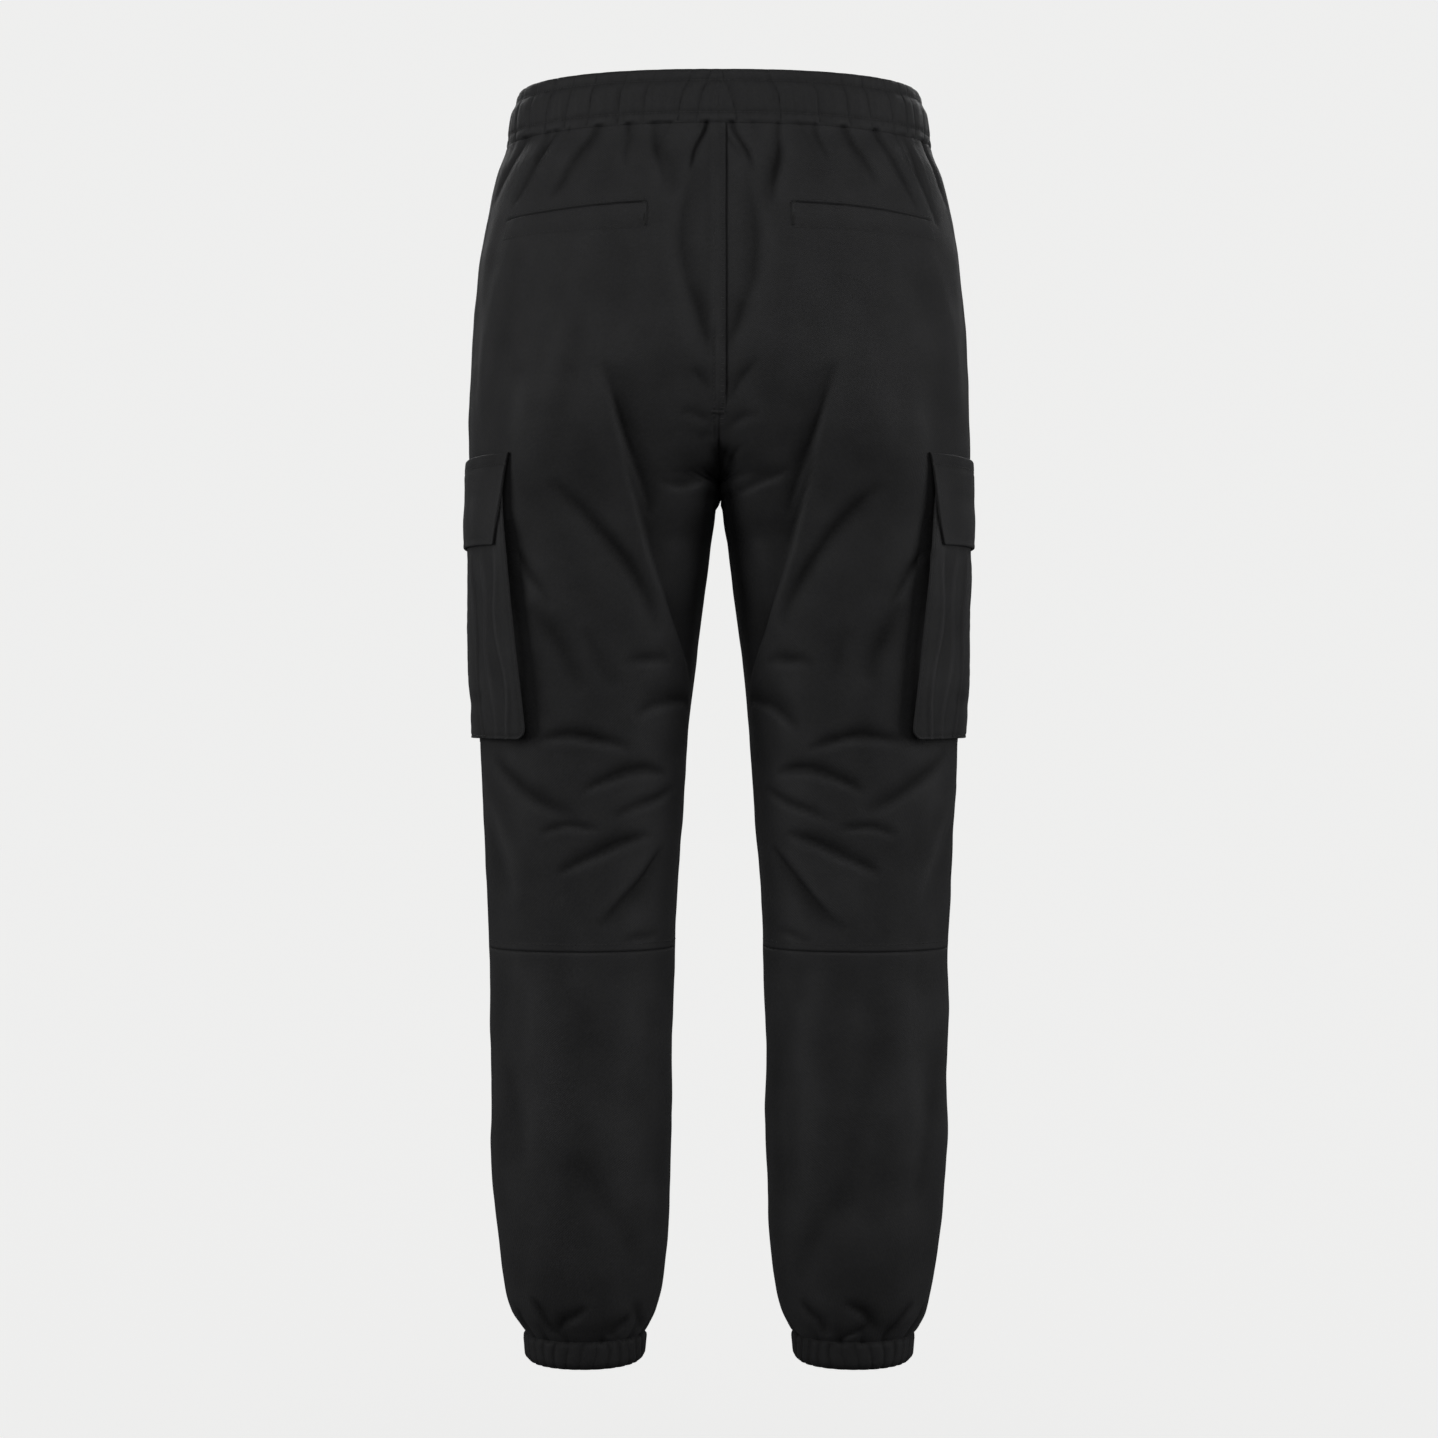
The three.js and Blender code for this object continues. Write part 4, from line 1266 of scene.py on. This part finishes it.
def pocket_stitches(half):
    side = side_name(half)
    rear, front, low = POCKET_REAR, POCKET_FRONT, POCKET_BOTTOM + FACE_ROW
    face = [(rear - FACE_ROW, POCKET_TOP - 3), (rear - FACE_ROW, low + 5)]
    face += [(rear - 2 * FACE_ROW, low + 1.4), (rear - 8, low), (front + 8, low)]
    face += [(front + 2 * FACE_ROW, low + 1.4), (front + FACE_ROW, low + 5)]
    face += [(front + FACE_ROW, POCKET_TOP - 3)]
    line = seam_line(half, face, lambda g, z: pocket_lift(g, z) - 0.4)
    thread_piece(f"cargo_face_{side}_stitches", [sewing(line)])

    def lift(g, z):
        return flap_lift(g, z) - 0.4

    top, low = FLAP_TOP - FLAP_TOP_ROW, FLAP_BOTTOM + FLAP_ROW
    rear_top, front_top = flap_edges(top)
    rear_low, front_low = flap_edges(low)
    rows = [
        [(rear_top - FLAP_ROW, top - 1), (rear_low - FLAP_ROW, low)]
        + [(front_low + FLAP_ROW, low), (front_top + FLAP_ROW, top - 1)],
        [(FLAP_REAR_TOP - 2, top), (FLAP_FRONT_TOP + 2, top)],
        [(FLAP_REAR_TOP - 2, FLAP_TOP - 2), (FLAP_FRONT_TOP + 2, FLAP_TOP - 2)],
    ]
    lines = [sewing(seam_line(half, row, lift)) for row in rows]
    for g in (FLAP_REAR_TOP - 3, FLAP_FRONT_TOP + 3):
        lines.append(bar_tack(seam_line(half, [(g, FLAP_TOP - 1), (g, top - 1)], lift, 0.5)))
    thread_piece(f"cargo_flap_{side}_stitches", lines)


def welt_stitches(half):
    foot = [(WELT_OUTER + 2, WELT_BOTTOM + 1.5), (WELT_INNER - 2, WELT_BOTTOM + 1.5)]
    above = [(g, float(slit_height(g)) + 3.6) for g in range(WELT_OUTER - 2, WELT_INNER + 4, 8)]
    lines = [(seam_line(half, foot, 0.3), 1.6, 4.2, 0.2), sewing(seam_line(half, above))]
    top = float(slit_height(WELT_INNER)) + 1
    ends = [(welt_end(z) - 1, z) for z in (top, WELT_BOTTOM + 2)]
    lines.append(bar_tack(seam_line(half, ends, WELT_LIFT - 0.7, 0.5)))
    thread_piece(f"welt_{side_name(half)}_stitches", lines)


def middle_stitches():
    """A row and a ladder of stitches down the felled seam, and the tack at its foot."""
    z = np.arange(BAND_BOTTOM - 3, FELL_END, -1.0)

    def down(off):
        points, out, _ = cloth(-1, girth(0, z) + off, z, FELL_LIFT)
        return points, out

    foot = girth(0, float(FELL_TACK))
    tack = seam_line(-1, [(foot - 6, FELL_TACK), (foot + 4, FELL_TACK)], FELL_LIFT, 0.5)
    row = (down(FELL_ROW), 1.8, 3.3, 0.2)
    lines = [row, (down(FELL_LADDER), 3, 4.1, 0.22, True), bar_tack(tack)]
    thread_piece("middle_stitches", lines)


def knee_stitches(half):
    far = float(girth(0, KNEE_ROW)) - 3
    line = seam_line(half, [(3, KNEE_ROW), (far, KNEE_ROW)], 0.35)
    thread_piece(f"knee_{side_name(half)}_stitches", [(line, 2, 3.3, 0.18)])


# The stage


FLOOR_SIDES = 96
FLOOR_RINGS = (0.6, 1.4, 3, 6, 12)


def studio_floor(settings):
    mesh = bpy.data.meshes.new("floor")
    turns = np.arange(FLOOR_SIDES) * 2 * math.pi / FLOOR_SIDES
    points = [(0, 0, settings.floor)]
    for radius in FLOOR_RINGS:
        points += [(radius * math.cos(t), radius * math.sin(t), settings.floor) for t in turns]
    ways = [(i, (i + 1) % FLOOR_SIDES) for i in range(FLOOR_SIDES)]
    faces = [(0, 1 + i, 1 + j) for i, j in ways]
    for k in range(len(FLOOR_RINGS) - 1):
        a = 1 + FLOOR_SIDES * k
        b = a + FLOOR_SIDES
        faces += [(a + i, b + i, b + j, a + j) for i, j in ways]
    mesh.from_pydata(points, [], faces)
    mesh.shade_smooth()
    floor = bpy.data.objects.new("floor", mesh)
    bpy.context.scene.collection.objects.link(floor)
    f = Finish("pale_floor")
    shade = f.blend(0.5, settings.pale, settings.pale)
    sockets = {
        "Base Color": shade,
        "Roughness": 0.9,
        "Specular IOR Level": 0.0,
        "Emission Color": (*settings.pale, 1),
        "Emission Strength": 1 - 0.9 * settings.fill,
    }
    mesh.materials.append(f.surface(sockets))
    floor.visible_diffuse = False
    floor.visible_glossy = False


LIT_POINT = Vector((0, 0, -0.45))
SOFTBOXES = [
    # name, place, width and height, share of the key's power
    ("key", (0, -3.3, 1.5), (2.4, 1.4), 1),
    ("side_left", (-2.7, -1.1, 0.1), (1.2, 1.8), 0.85),
    ("side_right", (2.7, -1.1, 0.1), (1.2, 1.8), 0.85),
    ("far_left", (-1.3, 2.3, 1.5), (1.4, 1.4), 0.45),
    ("far_right", (1.3, 2.3, 1.5), (1.4, 1.4), 0.45),
]


def studio_light(name, place_at, size, power):
    light = bpy.data.lights.new(name, "AREA")
    light.shape = "RECTANGLE"
    light.size, light.size_y = size
    light.energy = power
    lamp = bpy.data.objects.new(name, light)
    lamp.location = place_at
    lamp.rotation_euler = (LIT_POINT - Vector(place_at)).to_track_quat("-Z", "Y").to_euler()
    lamp.visible_camera = False
    lamp.light_linking.receiver_collection = lit_pieces()
    bpy.context.scene.collection.objects.link(lamp)


def studio_world(settings):
    """Pale where it is seen. It lights the trousers weakly, and less from below than from above."""
    f = Finish("studio", "worlds")
    seen = f.node("ShaderNodeBackground", None, {"Color": (*settings.pale, 1)})
    way = f.node("ShaderNodeTexCoord").outputs["Generated"]
    up = f.value("ShaderNodeSeparateXYZ", 2, None, {0: way})
    lit = f.node(
        "ShaderNodeBackground",
        None,
        {"Color": (1, 1, 1, 1), "Strength": (up * 0.3 + 0.7) * settings.fill},
    )
    by_camera = f.node("ShaderNodeLightPath").outputs["Is Camera Ray"]
    ways = {0: by_camera, 1: lit.outputs[0], 2: seen.outputs[0]}
    both = f.node("ShaderNodeMixShader", None, ways)
    f.node("ShaderNodeOutputWorld", None, {"Surface": both.outputs[0]})
    bpy.context.scene.world = f.made


def camera(settings):
    data = bpy.data.cameras.new("camera")
    data.sensor_width = 36
    data.lens = settings.lens
    data.clip_end = 60
    body = bpy.data.objects.new("camera", data)
    body.location = (0, -settings.distance, settings.height)
    body.rotation_euler = (math.pi / 2, 0, 0)
    bpy.context.scene.collection.objects.link(body)
    bpy.context.scene.camera = body


# Settings, operators and the sidebar


def number(name, about, default, low, high, **more):
    """A setting that lies between low and high."""
    return FloatProperty(name=name, description=about, default=default, min=low, max=high, **more)


class TrousersCloth(PropertyGroup):
    colour: FloatVectorProperty(
        name="Colour", description="Colour of the twill", default=(0.0155, 0.0155, 0.016),
        subtype="COLOR", size=3, min=0, max=1,
    )
    roughness: number("Roughness", "Roughness of the twill", 0.62, 0, 1, subtype="FACTOR")
    sheen: number("Sheen", "Nap that catches light at the edges", 0.02, 0, 1, subtype="FACTOR")
    # Strength of the painted highlight on crests and painted shade in troughs
    painted_light: number(
        "PaintedLight", "How much crests are paler and troughs darker", 0.45, 0, 1, subtype="FACTOR"
    )
    drift: number("Drift", "Slow unevenness of the cloth, in millimetres", 0.55, 0, 4)
    band_wave: number(
        "Waist gathers", "Depth of the waistband's gathers, in millimetres", 2.4, 0, 4
    )
    rib_wave: number("Cuff ribs", "Depth of the cuffs' ribs, in millimetres", 2.2, 0, 3)
    ribs: IntProperty(name="Rib count", description="Ribs round a cuff", default=28, min=12, max=40)


class TrousersSewing(PropertyGroup):
    stitch: number("Stitch", "Length of a stitch, in millimetres", 2.4, 1, 6)
    pitch: number("Pitch", "From one stitch to the next, in millimetres", 3.1, 1.5, 8)
    thread: number("Thread", "Thickness of the thread, in millimetres", 0.5, 0.2, 1.2)


class TrousersStage(PropertyGroup):
    floor: FloatProperty(
        name="Floor", description="Height of the floor", default=-1.12, unit="LENGTH"
    )
    pale: FloatVectorProperty(
        name="Pale", description="Colour of the floor and the backdrop",
        default=(0.86, 0.86, 0.855), subtype="COLOR", size=3, min=0, max=1,
    )
    fill: number("Fill", "Light from all round", 0.16, 0, 1)
    key: number("Key", "Power of the main softbox", 58, 0, 400, unit="POWER")
    distance: FloatProperty(
        name="Distance", description="From the camera to the trousers", default=2.2, unit="LENGTH"
    )
    height: FloatProperty(
        name="Height", description="Height of the camera", default=-0.475, unit="LENGTH"
    )
    lens: number("Lens", "Focal length", 68.85, 10, 200, unit="CAMERA")


class PieceOperator:
    """Shared by the operators that make pieces: the makers for each half, the shared ones once."""

    bl_options = {"REGISTER", "UNDO"}
    makers = ()
    shared = ()

    def execute(self, context):
        for half in (-1, 1):
            for make in self.makers:
                make(half)
        for make in self.shared:
            make()
        return {"FINISHED"}


class TROUSERS_OT_waistband(PieceOperator, Operator):
    """Makes the gathered waistband and its two rows of stitches"""

    bl_idname = "trousers.waistband"
    bl_label = "Waistband"
    shared = (waistband,)


class TROUSERS_OT_backs(PieceOperator, Operator):
    """Makes the upper backs, the calves and the stitches above the knee seams"""

    bl_idname = "trousers.backs"
    bl_label = "Backs and calves"
    makers = (back_panel, calf_panel, knee_stitches)
    shared = (middle_stitches,)


class TROUSERS_OT_fronts(PieceOperator, Operator):
    """Makes the fronts"""

    bl_idname = "trousers.fronts"
    bl_label = "Fronts"
    makers = (front_panel,)


class TROUSERS_OT_cuffs(PieceOperator, Operator):
    """Makes the gathered ankle cuffs"""

    bl_idname = "trousers.cuffs"
    bl_label = "Ankle cuffs"
    makers = (cuff,)


class TROUSERS_OT_cargo_pockets(PieceOperator, Operator):
    """Makes the cargo pockets: face, gusset, flap and stitches"""

    bl_idname = "trousers.cargo_pockets"
    bl_label = "Cargo pockets"
    makers = (cargo_face, cargo_gusset, cargo_flap, pocket_stitches)


class TROUSERS_OT_welts(PieceOperator, Operator):
    """Makes the welts of the back pockets and their stitches"""

    bl_idname = "trousers.welts"
    bl_label = "Back pocket welts"
    makers = (welt, welt_stitches)


class TROUSERS_OT_stage(Operator):
    """Makes the floor, the lights and the camera"""

    bl_idname = "trousers.stage"
    bl_label = "Stage"

    def execute(self, context):
        settings = context.scene.trousers_stage
        studio_floor(settings)
        studio_world(settings)
        for name, place_at, size, share in SOFTBOXES:
            studio_light(name, place_at, size, settings.key * share)
        camera(settings)
        context.scene.view_settings.view_transform = "Standard"
        return {"FINISHED"}


PIECE_OPERATORS = (
    TROUSERS_OT_waistband,
    TROUSERS_OT_backs,
    TROUSERS_OT_fronts,
    TROUSERS_OT_cuffs,
    TROUSERS_OT_cargo_pockets,
    TROUSERS_OT_welts,
    TROUSERS_OT_stage,
)


class TROUSERS_PT_sidebar(Panel):
    """Lists the trousers' settings and pieces"""

    bl_idname = "TROUSERS_PT_sidebar"
    bl_label = "Cargo trousers"
    bl_space_type = "VIEW_3D"
    bl_region_type = "UI"
    bl_category = "Trousers"

    def draw(self, context):
        scene = context.scene
        for settings in (scene.trousers_cloth, scene.trousers_sewing, scene.trousers_stage):
            box = self.layout.box()
            for name in settings.__annotations__:
                box.prop(settings, name)
        for operator in PIECE_OPERATORS:
            self.layout.operator(operator.bl_idname)


CLASSES = (TrousersCloth, TrousersSewing, TrousersStage, *PIECE_OPERATORS, TROUSERS_PT_sidebar)


def register():
    for kind in CLASSES:
        bpy.utils.register_class(kind)
    bpy.types.Scene.trousers_cloth = PointerProperty(type=TrousersCloth)
    bpy.types.Scene.trousers_sewing = PointerProperty(type=TrousersSewing)
    bpy.types.Scene.trousers_stage = PointerProperty(type=TrousersStage)


def unregister():
    for name in ("trousers_cloth", "trousers_sewing", "trousers_stage"):
        delattr(bpy.types.Scene, name)
    for kind in reversed(CLASSES):
        bpy.utils.unregister_class(kind)


def main():
    register()
    bpy.ops.trousers.waistband()
    bpy.ops.trousers.backs()
    bpy.ops.trousers.fronts()
    bpy.ops.trousers.cuffs()
    bpy.ops.trousers.cargo_pockets()
    bpy.ops.trousers.welts()
    bpy.ops.trousers.stage()


if __name__ == "__main__":
    main()
